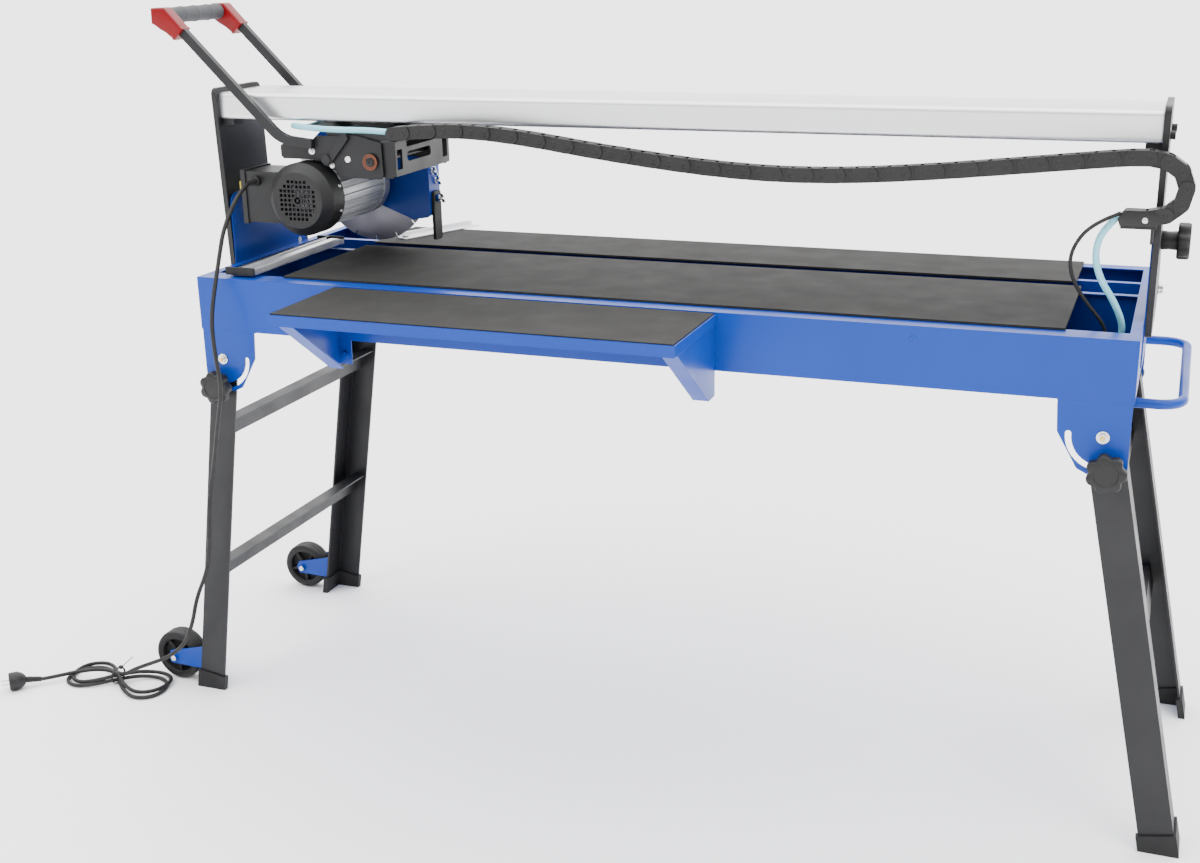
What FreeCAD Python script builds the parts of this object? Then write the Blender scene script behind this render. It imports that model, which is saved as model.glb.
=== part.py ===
import FreeCAD, Part
import math
import os

V = FreeCAD.Vector
os.makedirs("parts", exist_ok=True)

# Wet tile saw on a folding stand.  Millimetres, +Z up, floor at z = 0.
# X runs along the cut, -Y is the operator's side.  It is drawn with x = y = 0 under the
# middle of the table, and every node is moved by ORIGIN_SHIFT as it is exported, which puts
# the origin under the middle of the whole saw's outline.

# ---------------------------------------------------------------- driving dimensions
ORIGIN_SHIFT = V(35.0, 86.0, 0.0)
TABLE_TOP = 872.0          # top of the rubber mats
MAT_T = 2.0
PLATE_T = 2.0
RAIL_TOP = TABLE_TOP - MAT_T - PLATE_T
RAIL_H = 100.0
RAIL_BOTTOM = RAIL_TOP - RAIL_H
HALF_L = 840.0             # tub, half length
HALF_W = 284.0             # tub, half width
SHEET = 2.0
FRONT_FLANGE = 45.0
REAR_FLANGE = 32.0
END_FLANGE = 17.0

BLADE_Y = 84.0             # plane of the blade, middle of the slot
SLOT_HALF = 16.5
RIB_OFFSET = 45.0
RULE_PIVOT = (-628.0, 152.0)     # screw of the angle guide
MAT_LEFT = -673.0
MAT_RIGHT = 728.0
REAR_MAT_RIGHT = 717.0
FRONT_MAT_EDGE = -249.0
REAR_MAT_EDGE = 281.0

PIVOT_X = 798.0            # leg pivots
PIVOT_Z = 712.0
LEFT_SPLAY = 8.6           # degrees outward
RIGHT_SPLAY = 11.3
LEG_W = 56.0
LEG_T = 4.0
BRACKET_T = 4.0
KNOB_RADIUS_FROM_PIVOT = 52.0
KNOB_D = 63.0

WHEEL_D = 104.0
WHEEL_W = 38.0

BEAM_Y0, BEAM_Y1 = -155.0, 5.0
BEAM_Z0, BEAM_Z1 = 1146.0, 1195.0
BEAM_WALL = 4.0
END_PLATE_X = 842.4
END_PLATE_T = 10.0
TILT_Z = TABLE_TOP
TILT_KNOB_Y, TILT_KNOB_Z = -40.0, 978.0
TILT_ANGLE = 45.0

AXIS_X, AXIS_Z = -657.0, 1006.0     # motor shaft, parallel to Y
BLADE_D = 250.0
BLADE_T = 2.4
BORE_D = 25.4
MOTOR_R = 62.0
COVER_R = 68.0
PLUNGE_X, PLUNGE_Z = -518.0, 1077.0

CORD_D = 8.0
HOSE_D = 11.0
CABLE_D = 6.0


# ---------------------------------------------------------------- shape helpers
def box(x0, x1, y0, y1, z0, z1):
    return Part.makeBox(x1 - x0, y1 - y0, z1 - z0, V(x0, y0, z0))


def rod(radius, start, end):
    a, b = V(*start), V(*end)
    return Part.makeCylinder(radius, (b - a).Length, a, b - a)


def ring(outer, inner, start, end):
    return rod(outer, start, end).cut(rod(inner, start, end))


def rounded_wire(points, radius, closed=True):
    """Polyline with tangent arcs of one radius at its corners (smaller where runs are short)."""
    pts = [V(*p) for p in points]
    n = len(pts)
    edges = []
    joints = []
    for i in range(n):
        if not closed and i in (0, n - 1):
            joints.append((pts[i], pts[i], None))
            continue
        before, here, after = pts[i - 1], pts[i], pts[(i + 1) % n]
        u = (before - here).normalize()
        w = (after - here).normalize()
        half = math.acos(max(-1.0, min(1.0, u.dot(w)))) / 2.0
        reach = radius / math.tan(half)
        reach = min(reach, 0.45 * min((before - here).Length, (after - here).Length))
        r = reach * math.tan(half)
        bis = (u + w).normalize()
        centre = here + bis * (r / math.sin(half))
        middle = centre - bis * r
        joints.append((here + u * reach, here + w * reach, middle))
    for i in range(n):
        start, end, middle = joints[i]
        if middle is not None:
            edges.append(Part.Arc(start, middle, end).toShape())
        if closed or i < n - 1:
            following = joints[(i + 1) % n][0]
            if (following - end).Length > 1e-6:
                edges.append(Part.makeLine(end, following))
    return Part.Wire(edges)


def prism(points, shift, radius=0.0):
    if radius > 0.0:
        wire = rounded_wire(points, radius)
    else:
        wire = Part.makePolygon([V(*p) for p in points] + [V(*points[0])])
    return Part.Face(wire).extrude(V(*shift))


def plate_xz(outline, y0, y1, radius=0.0):
    return prism([(x, y0, z) for x, z in outline], (0, y1 - y0, 0), radius)


def plate_yz(outline, x0, x1, radius=0.0):
    return prism([(x0, y, z) for y, z in outline], (x1 - x0, 0, 0), radius)


def plate_xy(outline, z0, z1, radius=0.0):
    return prism([(x, y, z0) for x, y in outline], (0, 0, z1 - z0), radius)


def mirror_x(shape):
    return shape.mirror(V(0, 0, 0), V(1, 0, 0))


def mirror_y(shape):
    return shape.mirror(V(0, 0, 0), V(0, 1, 0))


def turned(shape, centre, axis, degrees):
    copy = shape.copy()
    copy.rotate(V(*centre), V(*axis), degrees)
    return copy


def group(*shapes):
    return Part.makeCompound(list(shapes))


def fuse(first, *others):
    return first.multiFuse(list(others)).removeSplitter()


def export(name, shape):
    placed = shape.copy()
    placed.translate(ORIGIN_SHIFT)
    placed.exportStep("parts/%s.step" % name)


def cord_route(name, points, diameter):
    """Round tube along straight runs joined by tangent arcs; returns the solid."""
    pts = [V(*p) for p in points]
    edges = []
    at = pts[0]
    length = 0.0
    smallest = 1e9
    for i in range(1, len(pts) - 1):
        u = (pts[i - 1] - pts[i])
        w = (pts[i + 1] - pts[i])
        shorter = min(u.Length, w.Length)
        u.normalize()
        w.normalize()
        turn = math.pi - math.acos(max(-1.0, min(1.0, u.dot(w))))
        reach = 0.45 * shorter
        r = reach / math.tan(turn / 2.0)
        bis = (u + w).normalize()
        centre = pts[i] + bis * (r / math.cos(turn / 2.0))
        a, b = pts[i] + u * reach, pts[i] + w * reach
        edges.append(Part.makeLine(at, a))
        edges.append(Part.Arc(a, centre - bis * r, b).toShape())
        length += (a - at).Length + r * turn
        smallest = min(smallest, r)
        at = b
    edges.append(Part.makeLine(at, pts[-1]))
    length += (pts[-1] - at).Length
    wire = Part.Wire(edges)
    direction = pts[1] - pts[0]
    circle = Part.Wire([Part.Circle(pts[0], direction, diameter / 2.0).toShape()])
    solid = wire.makePipeShell([circle], True, False)
    print(name, "length", round(length, 1), "smallest radius", round(smallest, 1),
          "volume ratio", round(solid.Volume / (length * math.pi * diameter ** 2 / 4.0), 4))
    return solid


# ---------------------------------------------------------------- tub, plates and mats
def make_tub():
    """Sheets of the welded water tub: two deep rails, end walls, floor, flanges and slot ribs."""
    z_floor = RAIL_BOTTOM + 4
    z_in = RAIL_TOP - SHEET
    inner_x, inner_y = HALF_L - SHEET, HALF_W - SHEET
    lip_y = -HALF_W + FRONT_FLANGE
    sheets = [
        box(-HALF_L, HALF_L, -HALF_W, -inner_y, RAIL_BOTTOM, RAIL_TOP),
        box(-HALF_L, HALF_L, -inner_y, lip_y, z_in, RAIL_TOP),
        box(-inner_x, inner_x, lip_y - SHEET, lip_y, RAIL_TOP - 14, z_in),
        box(-HALF_L, HALF_L, inner_y, HALF_W, RAIL_BOTTOM, RAIL_TOP),
        box(-HALF_L, HALF_L, HALF_W - REAR_FLANGE, inner_y, z_in, RAIL_TOP),
        box(-inner_x, inner_x, -inner_y, inner_y, z_floor, z_floor + SHEET),
    ]
    ribs = [BLADE_Y - RIB_OFFSET, BLADE_Y + RIB_OFFSET]
    for y, outward in zip(ribs, (-1, 1)):
        sheets.append(box(-inner_x, inner_x, y - 1, y + 1, z_floor + SHEET, RAIL_TOP))
        y0, y1 = sorted((y + outward, y + outward * 13))
        sheets.append(box(-inner_x, inner_x, y0, y1, z_in, RAIL_TOP))
    for side in (-1, 1):
        x0, x1 = sorted((side * HALF_L, side * inner_x))
        sheets.append(box(x0, x1, -inner_y, inner_y, RAIL_BOTTOM, z_in))
        x0, x1 = sorted((side * HALF_L, side * (HALF_L - END_FLANGE)))
        ends = box(x0, x1, lip_y, HALF_W - REAR_FLANGE, z_in, RAIL_TOP)
        for y, outward in zip(ribs, (-1, 1)):
            y0, y1 = sorted((y - outward, y + outward * 13))
            ends = ends.cut(box(-inner_x, inner_x, y0, y1, z_in, RAIL_TOP))
        sheets.append(ends)
    return group(*sheets)


export("tub", make_tub())

slot_front = BLADE_Y - SLOT_HALF
slot_rear = BLADE_Y + SLOT_HALF
export("front_table_plate",
       box(MAT_LEFT, MAT_RIGHT, FRONT_MAT_EDGE, slot_front, RAIL_TOP, RAIL_TOP + PLATE_T))
export("rear_table_plate",
       box(MAT_LEFT, REAR_MAT_RIGHT, slot_rear, REAR_MAT_EDGE, RAIL_TOP, RAIL_TOP + PLATE_T))
export("front_table_mat",
       plate_xy([(MAT_LEFT, FRONT_MAT_EDGE), (MAT_RIGHT, FRONT_MAT_EDGE),
                 (MAT_RIGHT, slot_front), (MAT_LEFT, slot_front)],
                TABLE_TOP - MAT_T, TABLE_TOP, 3.0))
rear_mat = plate_xy([(MAT_LEFT, slot_rear), (REAR_MAT_RIGHT, slot_rear),
                     (REAR_MAT_RIGHT, REAR_MAT_EDGE), (MAT_LEFT, REAR_MAT_EDGE)],
                    TABLE_TOP - MAT_T, TABLE_TOP, 3.0)
export("rear_table_mat", rear_mat.cut(rod(3.05, (*RULE_PIVOT, RAIL_TOP), (*RULE_PIVOT, TABLE_TOP + 1))))


# ---------------------------------------------------------------- leg brackets and pivots
def arc_slot(cx, cz, radius, width, start, end, y0, y1):
    """Curved slot cutter; angles in degrees from straight down, positive towards +X."""
    def at(r, deg):
        a = math.radians(deg)
        return V(cx + r * math.sin(a), y0, cz - r * math.cos(a))
    mid = (start + end) / 2.0
    inner, outer = radius - width / 2.0, radius + width / 2.0
    edges = [
        Part.Arc(at(outer, start), at(outer, mid), at(outer, end)).toShape(),
        Part.makeLine(at(outer, end), at(inner, end)),
        Part.Arc(at(inner, end), at(inner, mid), at(inner, start)).toShape(),
        Part.makeLine(at(inner, start), at(outer, start)),
    ]
    cutter = Part.Face(Part.Wire(edges)).extrude(V(0, y1 - y0, 0))
    for deg in (start, end):
        p = at(radius, deg)
        cutter = cutter.fuse(rod(width / 2.0, (p.x, y0, p.z), (p.x, y1, p.z)))
    return cutter


def leg_bracket(splay):
    """Right front bracket: plate under the rail with pivot hole and curved slot."""
    y0, y1 = -HALF_W, -HALF_W + BRACKET_T
    outline = [(726, RAIL_BOTTOM), (729, 716), (762, 658), (778, 650), (838, 650), (838, RAIL_BOTTOM)]
    plate = plate_xz(outline, y0, y1, 6.0)
    tab = box(726, 838, y0, -HALF_W + 22, RAIL_BOTTOM - 3, RAIL_BOTTOM)
    bracket = plate.fuse(tab)
    bracket = bracket.cut(rod(5.2, (PIVOT_X, y0 - 1, PIVOT_Z), (PIVOT_X, y1 + 1, PIVOT_Z)))
    slot = arc_slot(PIVOT_X, PIVOT_Z, KNOB_RADIUS_FROM_PIVOT, 9.6, splay, -92.0, y0 - 1, y1 + 1)
    return bracket.cut(slot)


right_bracket = leg_bracket(RIGHT_SPLAY)
left_bracket = mirror_x(leg_bracket(LEFT_SPLAY))
export("leg_brackets",
       group(right_bracket, mirror_y(right_bracket), left_bracket, mirror_y(left_bracket)))


def pivot_bolt(side, back):
    """M10 leg pivot: head, washer, shank and nut, clear of the turning leg."""
    x = side * PIVOT_X
    bolt = fuse(rod(5.0, (x, -HALF_W - 2, PIVOT_Z), (x, -HALF_W + 14, PIVOT_Z)),
                rod(10.0, (x, -HALF_W - 2, PIVOT_Z), (x, -HALF_W, PIVOT_Z)),
                rod(6.5, (x, -HALF_W - 7, PIVOT_Z), (x, -HALF_W - 2, PIVOT_Z)))
    return mirror_y(bolt) if back else bolt


leg_bolts = [pivot_bolt(side, back) for side in (-1, 1) for back in (False, True)]


# ---------------------------------------------------------------- folding legs
LEG_LENGTH_LEFT = PIVOT_Z / math.cos(math.radians(LEFT_SPLAY))
LEG_LENGTH_RIGHT = PIVOT_Z / math.cos(math.radians(RIGHT_SPLAY))
FRONT_FACE = -HALF_W + BRACKET_T + 0.3     # front face of the front leg


def place_leg(shape, side, splay):
    """Local: pivot at origin, leg down -Z, outward +X.  Turn to the splay, move, mirror."""
    moved = turned(shape, (0, 0, 0), (0, 1, 0), -splay)
    moved.translate(V(PIVOT_X, 0, PIVOT_Z))
    return moved if side > 0 else mirror_x(moved)


def leg_angle(length):
    """Front leg: rounded top flat facing the front, side flange on the outside."""
    half = LEG_W / 2.0
    flat = box(-half, half, FRONT_FACE, FRONT_FACE + LEG_T, -length - 30, 0)
    flat = flat.fuse(rod(half, (0, FRONT_FACE, 0), (0, FRONT_FACE + LEG_T, 0)))
    flange = box(half - LEG_T, half, FRONT_FACE, FRONT_FACE + LEG_W, -length - 30, -48)
    angle = flat.fuse(flange)
    angle = angle.cut(rod(5.1, (0, FRONT_FACE - 1, 0), (0, FRONT_FACE + LEG_T + 1, 0)))
    stud = (0, FRONT_FACE - 1, -KNOB_RADIUS_FROM_PIVOT)
    stud_end = (0, FRONT_FACE + LEG_T + 1, -KNOB_RADIUS_FROM_PIVOT)
    return angle.cut(rod(4.1, stud, stud_end))


def brace(depth):
    """Angle brace between the two legs; depth is the distance below the pivot to its top."""
    y = -FRONT_FACE - LEG_T
    web = box(-2, 1, -y, y, -depth - 44, -depth)
    top = box(-23.8, 1, -y, y, -depth - 3, -depth)
    return web.fuse(top)


floor_cut = box(-1500, 1500, -600, 600, -300, 8.0)


def leg_frame(side, length, splay):
    front = leg_angle(length)
    rear = mirror_y(front)
    frame = fuse(front, rear, brace(122.0), brace(428.0))
    return place_leg(frame, side, splay).cut(floor_cut)


left_frame = leg_frame(-1, LEG_LENGTH_LEFT, LEFT_SPLAY)
right_frame = leg_frame(1, LEG_LENGTH_RIGHT, RIGHT_SPLAY)
export("left_leg_frame", left_frame)
export("right_leg_frame", right_frame)


def foot(length):
    """L-shaped rubber boot around the foot of the front leg."""
    half = LEG_W / 2.0
    t = 4.0
    grow = 6.0
    flat = box(-half - t, half + t, FRONT_FACE - t, FRONT_FACE + LEG_T + t, -length - 30, -length + 34)
    flange = box(half - LEG_T - t, half + t, FRONT_FACE - t, FRONT_FACE + LEG_W + grow,
                 -length - 30, -length + 34)
    return flat.fuse(flange)


ground_cut = box(-1500, 1500, -600, 600, -300, 0.0)


def feet(side, length, splay, frame):
    front = place_leg(foot(length), side, splay).cut(ground_cut).cut(frame)
    rear = place_leg(mirror_y(foot(length)), side, splay).cut(ground_cut).cut(frame)
    return group(front, rear)


export("left_feet", feet(-1, LEG_LENGTH_LEFT, LEFT_SPLAY, left_frame))
export("right_feet", feet(1, LEG_LENGTH_RIGHT, RIGHT_SPLAY, right_frame))


def leg_knob(side, back, splay):
    """Seven-lobed clamping knob with its stud through the slot and the leg."""
    front = FRONT_FACE - BRACKET_T - 0.3
    z = -KNOB_RADIUS_FROM_PIVOT
    hub = rod(13, (0, front - 12, z), (0, front - 0.4, z))
    disc = rod(KNOB_D / 2.0, (0, front - 32, z), (0, front - 12, z))
    for k in range(7):
        a = 2 * math.pi * k / 7.0
        px, pz = 36.0 * math.sin(a), z + 36.0 * math.cos(a)
        disc = disc.cut(rod(8.5, (px, front - 33, pz), (px, front - 11, pz)))
    stud = rod(4.0, (0, front - 1, z), (0, FRONT_FACE + LEG_T + 9, z))
    nut = rod(7.5, (0, FRONT_FACE + LEG_T + 0.4, z), (0, FRONT_FACE + LEG_T + 7, z))
    knob = fuse(hub, disc, stud, nut)
    knob = mirror_y(knob) if back else knob
    return place_leg(knob, side, splay)


export("left_front_leg_knob", leg_knob(-1, False, LEFT_SPLAY))
export("left_rear_leg_knob", leg_knob(-1, True, LEFT_SPLAY))
export("right_front_leg_knob", leg_knob(1, False, RIGHT_SPLAY))
export("right_rear_leg_knob", leg_knob(1, True, RIGHT_SPLAY))

# ---------------------------------------------------------------- transport wheels
WHEEL_X, WHEEL_Z = -992.0, WHEEL_D / 2.0 + 2.0
WHEEL_Y0 = -HALF_W + 14.0


def wheel_fork():
    """Two tapered tongues from the leg's side flange to the axle, with the axle bolt."""
    near_x = -912.0
    parts = []
    for y in (WHEEL_Y0 - 7.0, WHEEL_Y0 + WHEEL_W + 3.0):
        tongue = plate_xz([(near_x, 38), (near_x - 6, 88), (WHEEL_X - 10, WHEEL_Z + 14),
                           (WHEEL_X - 16, WHEEL_Z), (WHEEL_X - 10, WHEEL_Z - 14)], y, y + 3.0, 4.0)
        parts.append(tongue)
    back = box(near_x - 22, near_x - 4, WHEEL_Y0 - 7.0, WHEEL_Y0 + WHEEL_W + 6.0, 60, 63)
    fork = fuse(parts[0], parts[1], back)
    axle_a = (WHEEL_X, WHEEL_Y0 - 8.0, WHEEL_Z)
    axle_b = (WHEEL_X, WHEEL_Y0 + WHEEL_W + 8.0, WHEEL_Z)
    fork = fork.cut(rod(4.0, axle_a, axle_b))
    outer_leg = place_leg(box(LEG_W / 2.0, LEG_W / 2.0 + 200, -300, -200, -900, 0), -1, LEFT_SPLAY)
    fork = fork.common(outer_leg)
    axle = fuse(rod(4.0, axle_a, axle_b),
                rod(7.0, (WHEEL_X, WHEEL_Y0 - 12.0, WHEEL_Z), (WHEEL_X, WHEEL_Y0 - 7.0, WHEEL_Z)),
                rod(7.0, (WHEEL_X, WHEEL_Y0 + WHEEL_W + 6.0, WHEEL_Z),
                    (WHEEL_X, WHEEL_Y0 + WHEEL_W + 12.0, WHEEL_Z)))
    return fork, axle


fork_solid, axle_solid = wheel_fork()
export("wheel_forks", group(fork_solid, mirror_y(fork_solid), axle_solid, mirror_y(axle_solid)))


def wheel():
    y0, y1 = WHEEL_Y0, WHEEL_Y0 + WHEEL_W
    r = WHEEL_D / 2.0
    tyre = ring(r, r - 17, (WHEEL_X, y0, WHEEL_Z), (WHEEL_X, y1, WHEEL_Z))
    hub = ring(12, 4.08, (WHEEL_X, y0, WHEEL_Z), (WHEEL_X, y1, WHEEL_Z))
    web = ring(r - 16, 11, (WHEEL_X, y0 + 14, WHEEL_Z), (WHEEL_X, y1 - 14, WHEEL_Z))
    spokes = []
    for k in range(5):
        a = 72.0 * k + 18.0
        bar = box(WHEEL_X - 3, WHEEL_X + 3, y0 + 4, y1 - 4, WHEEL_Z + 10, WHEEL_Z + r - 16)
        spokes.append(turned(bar, (WHEEL_X, 0, WHEEL_Z), (0, 1, 0), a))
    return fuse(tyre, hub, web, *spokes)


front_wheel = wheel()
export("front_wheel", front_wheel)
export("rear_wheel", mirror_y(front_wheel))

# ---------------------------------------------------------------- transport handle
HANDLE_Z, HANDLE_Y, HANDLE_X = 750.0, 207.0, 909.0
HANDLE_FOOT_X = 788.0               # inner end of the bar, under the tub's floor
bar_path = [(HANDLE_FOOT_X, -HANDLE_Y, HANDLE_Z), (HANDLE_X, -HANDLE_Y, HANDLE_Z),
            (HANDLE_X, HANDLE_Y, HANDLE_Z), (HANDLE_FOOT_X, HANDLE_Y, HANDLE_Z)]
bar_wire = rounded_wire(bar_path, 38.0, closed=False)
bar_circle = Part.Wire([Part.Circle(V(*bar_path[0]), V(1, 0, 0), 8.0).toShape()])
bar = bar_wire.makePipeShell([bar_circle], True, False)
foot = box(HANDLE_FOOT_X + 2, 836, -HANDLE_Y - 5, -HANDLE_Y + 5, HANDLE_Z, RAIL_BOTTOM)
export("transport_handle", fuse(bar, foot, mirror_y(foot)))

# ---------------------------------------------------------------- side table
SIDE_X0, SIDE_X1 = -547.0, 176.0
SIDE_Y1 = -HALF_W - 0.3
SIDE_Y0 = -HALF_W - 220.0
SIDE_TOP = 866.0
tray = box(SIDE_X0, SIDE_X1, SIDE_Y0, SIDE_Y1, SIDE_TOP - 20, SIDE_TOP - 1)
tray = tray.cut(box(SIDE_X0 + 2, SIDE_X1 - 2, SIDE_Y0 + 2, SIDE_Y1 - 2, SIDE_TOP - 30, SIDE_TOP - 3))
export("side_table_tray", tray)
export("side_table_mat",
       box(SIDE_X0 + 3, SIDE_X1 - 3, SIDE_Y0 + 3, SIDE_Y1 - 3, SIDE_TOP - 1, SIDE_TOP + 1))


def side_bracket(x, fold):
    """Triangular folded bracket; fold is the direction of its stiffening flanges."""
    z1 = SIDE_TOP - 3
    z_tray = SIDE_TOP - 20
    outline = [(SIDE_Y0 + 8, z1), (SIDE_Y0 + 8, z1 - 10), (SIDE_Y1 - 34, 724), (SIDE_Y1, 724),
               (SIDE_Y1, z_tray), (SIDE_Y1 - 2, z_tray), (SIDE_Y1 - 2, z1)]
    x0, x1 = sorted((x, x + 2 * fold))
    web = plate_yz(outline, x0, x1)
    fx0, fx1 = sorted((x, x + 28 * fold))
    rear = box(fx0, fx1, SIDE_Y1 - 2, SIDE_Y1, 724, z_tray)
    low = plate_yz([(SIDE_Y0 + 8, z1 - 10), (SIDE_Y1 - 34, 724), (SIDE_Y1 - 34, 727),
                    (SIDE_Y0 + 8, z1 - 7)], fx0, fx1)
    return fuse(web, rear, low)


side_bolts = []
for x in (SIDE_X0 + 18, SIDE_X1 - 18):
    for z in (742.0, 838.0):
        side_bolts.append(rod(5.5, (x, SIDE_Y1 - 7, z), (x, SIDE_Y1 - 2, z)))
export("side_table_brackets",
       group(side_bracket(SIDE_X0 + 2.0, 1), side_bracket(SIDE_X1 - 2.0, -1), *side_bolts))

# ---------------------------------------------------------------- fence and angle guide
FENCE_Z = TABLE_TOP + 0.3


def fence():
    y0, y1 = -268.0, 44.0
    bar = plate_xz([(-763, FENCE_Z), (-725, FENCE_Z), (-725, FENCE_Z + 14), (-763, FENCE_Z + 14)],
                   y0, y1, 1.5)
    groove = box(-752, -742, y0 - 1, y1 + 1, FENCE_Z + 10, FENCE_Z + 15)
    ledge = box(-785, -763, y0 + 3, y1 + 2, FENCE_Z, FENCE_Z + 5)
    return bar.cut(groove).fuse(ledge)


def fence_clamp():
    body = plate_xy([(-757, 44), (-731, 44), (-722, 64), (-748, 66)], FENCE_Z, FENCE_Z + 10, 2.0)
    return body


export("fence_bar", group(fence(), fence_clamp()))

rule = box(-12, 190, -14, 14, TABLE_TOP + 0.3, TABLE_TOP + 3.3)
rule = rule.fuse(box(-12, 190, 11, 14, TABLE_TOP + 0.3, TABLE_TOP + 11))
rule = rule.cut(rod(3.05, (0, 0, 860), (0, 0, 900)))
rule = turned(rule, (0, 0, 0), (0, 0, 1), 66.0)
rule.translate(V(RULE_PIVOT[0], RULE_PIVOT[1], 0))
export("angle_guide", rule)
guide_screw = (
       fuse(rod(3.0, (RULE_PIVOT[0], RULE_PIVOT[1], TABLE_TOP - 1.9),
                (RULE_PIVOT[0], RULE_PIVOT[1], TABLE_TOP + 6)),
            rod(7.0, (RULE_PIVOT[0], RULE_PIVOT[1], TABLE_TOP + 3.7),
                (RULE_PIVOT[0], RULE_PIVOT[1], TABLE_TOP + 7))))

# ---------------------------------------------------------------- tilt brackets, plates and beam
BLUE_X0, BLUE_X1 = HALF_L, END_PLATE_X - 0.4


def pivot_bracket():
    """Right fixed bracket on the end wall: pivot hole and the hole of the tilt clamp's stud."""
    outline = [(-152, 786), (-152, 1004), (-60, 1004), (20, 930), (75, 893), (108, 893), (108, 786)]
    plate = plate_yz(outline, BLUE_X0, BLUE_X1, 22.0)
    x0, x1 = BLUE_X0 - 1, BLUE_X1 + 1
    plate = plate.cut(rod(6.1, (x0, BLADE_Y, TILT_Z), (x1, BLADE_Y, TILT_Z)))
    return plate.cut(rod(4.1, (x0, TILT_KNOB_Y, TILT_KNOB_Z), (x1, TILT_KNOB_Y, TILT_KNOB_Z)))


right_pivot_bracket = pivot_bracket()
export("pivot_brackets", group(right_pivot_bracket, mirror_x(right_pivot_bracket)))


def tilt_slot(x0, x1):
    """Curved slot about the tilt pivot; the plate turns and the clamp's stud stays."""
    radius = math.hypot(TILT_KNOB_Y - BLADE_Y, TILT_KNOB_Z - TILT_Z)
    start = math.atan2(TILT_KNOB_Z - TILT_Z, TILT_KNOB_Y - BLADE_Y)
    half = 5.2

    def at(r, turn):
        angle = start + math.radians(turn)
        return V(x0, BLADE_Y + r * math.cos(angle), TILT_Z + r * math.sin(angle))

    middle = TILT_ANGLE / 2.0
    inner, outer = radius - half, radius + half
    edges = [
        Part.Arc(at(outer, 0.0), at(outer, middle), at(outer, TILT_ANGLE)).toShape(),
        Part.makeLine(at(outer, TILT_ANGLE), at(inner, TILT_ANGLE)),
        Part.Arc(at(inner, TILT_ANGLE), at(inner, middle), at(inner, 0.0)).toShape(),
        Part.makeLine(at(inner, 0.0), at(outer, 0.0)),
    ]
    cutter = Part.Face(Part.Wire(edges)).extrude(V(x1 - x0, 0, 0))
    for turn in (0.0, TILT_ANGLE):
        p = at(radius, turn)
        cutter = cutter.fuse(rod(half, (x0, p.y, p.z), (x1, p.y, p.z)))
    return cutter


def end_plate():
    """Right tilting plate: leans forward from the pivot to the beam, slotted for the clamp."""
    outline = [(-167, 1204), (-152, 842), (-120, 836), (84, 834), (119, 858), (119, 900),
               (30, 962), (-8, 1030), (-14, 1204)]
    plate = plate_yz(outline, END_PLATE_X, END_PLATE_X + END_PLATE_T, 12.0)
    x0, x1 = END_PLATE_X - 1, END_PLATE_X + END_PLATE_T + 1
    plate = plate.cut(rod(6.1, (x0, BLADE_Y, TILT_Z), (x1, BLADE_Y, TILT_Z)))
    return plate.cut(tilt_slot(x0, x1))


right_plate = end_plate()
export("right_end_plate", right_plate)
export("left_end_plate", mirror_x(right_plate))


def pivot_pin():
    x0, x1 = HALF_L - SHEET, END_PLATE_X + END_PLATE_T
    shank = rod(6.0, (x0 + 2, BLADE_Y, TILT_Z), (x1 + 9, BLADE_Y, TILT_Z))
    washer = rod(11.0, (x1 + 0.3, BLADE_Y, TILT_Z), (x1 + 2.3, BLADE_Y, TILT_Z))
    nut = rod(9.0, (x1 + 2.3, BLADE_Y, TILT_Z), (x1 + 8, BLADE_Y, TILT_Z))
    return fuse(shank, washer, nut)


pin = pivot_pin()
export("stand_pivot_pins", group(pin, mirror_x(pin), guide_screw, *leg_bolts))


def beam():
    """Extruded aluminium guide beam, open slot underneath for the carriage rollers."""
    x0, x1 = -END_PLATE_X, END_PLATE_X
    outer = plate_yz([(BEAM_Y0, BEAM_Z0), (BEAM_Y1, BEAM_Z0), (BEAM_Y1, BEAM_Z1),
                      (BEAM_Y0, BEAM_Z1)], x0, x1, 7.0)
    w = BEAM_WALL
    inner = plate_yz([(BEAM_Y0 + w, BEAM_Z0 + w), (BEAM_Y1 - w, BEAM_Z0 + w),
                      (BEAM_Y1 - w, BEAM_Z1 - w), (BEAM_Y0 + w, BEAM_Z1 - w)], x0 - 1, x1 + 1, 4.0)
    mouth = box(x0 - 1, x1 + 1, BEAM_Y0 + 26, BEAM_Y1 - 26, BEAM_Z0 - 1, BEAM_Z0 + w + 1)
    return outer.cut(inner).cut(mouth)


export("beam", beam())

screws = []
for y in (-125.0, -25.0):
    screws.append(rod(6.5, (END_PLATE_X + END_PLATE_T, y, 1156), (END_PLATE_X + END_PLATE_T + 8, y, 1156)))
screws.extend([mirror_x(s) for s in list(screws)])
stop = box(END_PLATE_X - 24, END_PLATE_X, -150, -118, BEAM_Z0 - 11, BEAM_Z0)
export("beam_end_screws_and_stops", group(stop, mirror_x(stop), *screws))


def tilt_knob():
    y, z = TILT_KNOB_Y, TILT_KNOB_Z
    x0 = END_PLATE_X + END_PLATE_T + 0.4
    hub = rod(15.5, (x0, y, z), (x0 + 24, y, z))
    disc = rod(30.0, (x0 + 24, y, z), (x0 + 44, y, z))
    for k in range(7):
        a = 2 * math.pi * k / 7.0
        py, pz = y + 34.0 * math.sin(a), z + 34.0 * math.cos(a)
        disc = disc.cut(rod(8.0, (x0 + 23, py, pz), (x0 + 45, py, pz)))
    stud = rod(4.0, (HALF_L + 0.2, y, z), (x0 + 1, y, z))
    return fuse(hub, disc, stud)


right_knob = tilt_knob()
export("right_tilt_knob", right_knob)
export("left_tilt_knob", mirror_x(right_knob))

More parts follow.
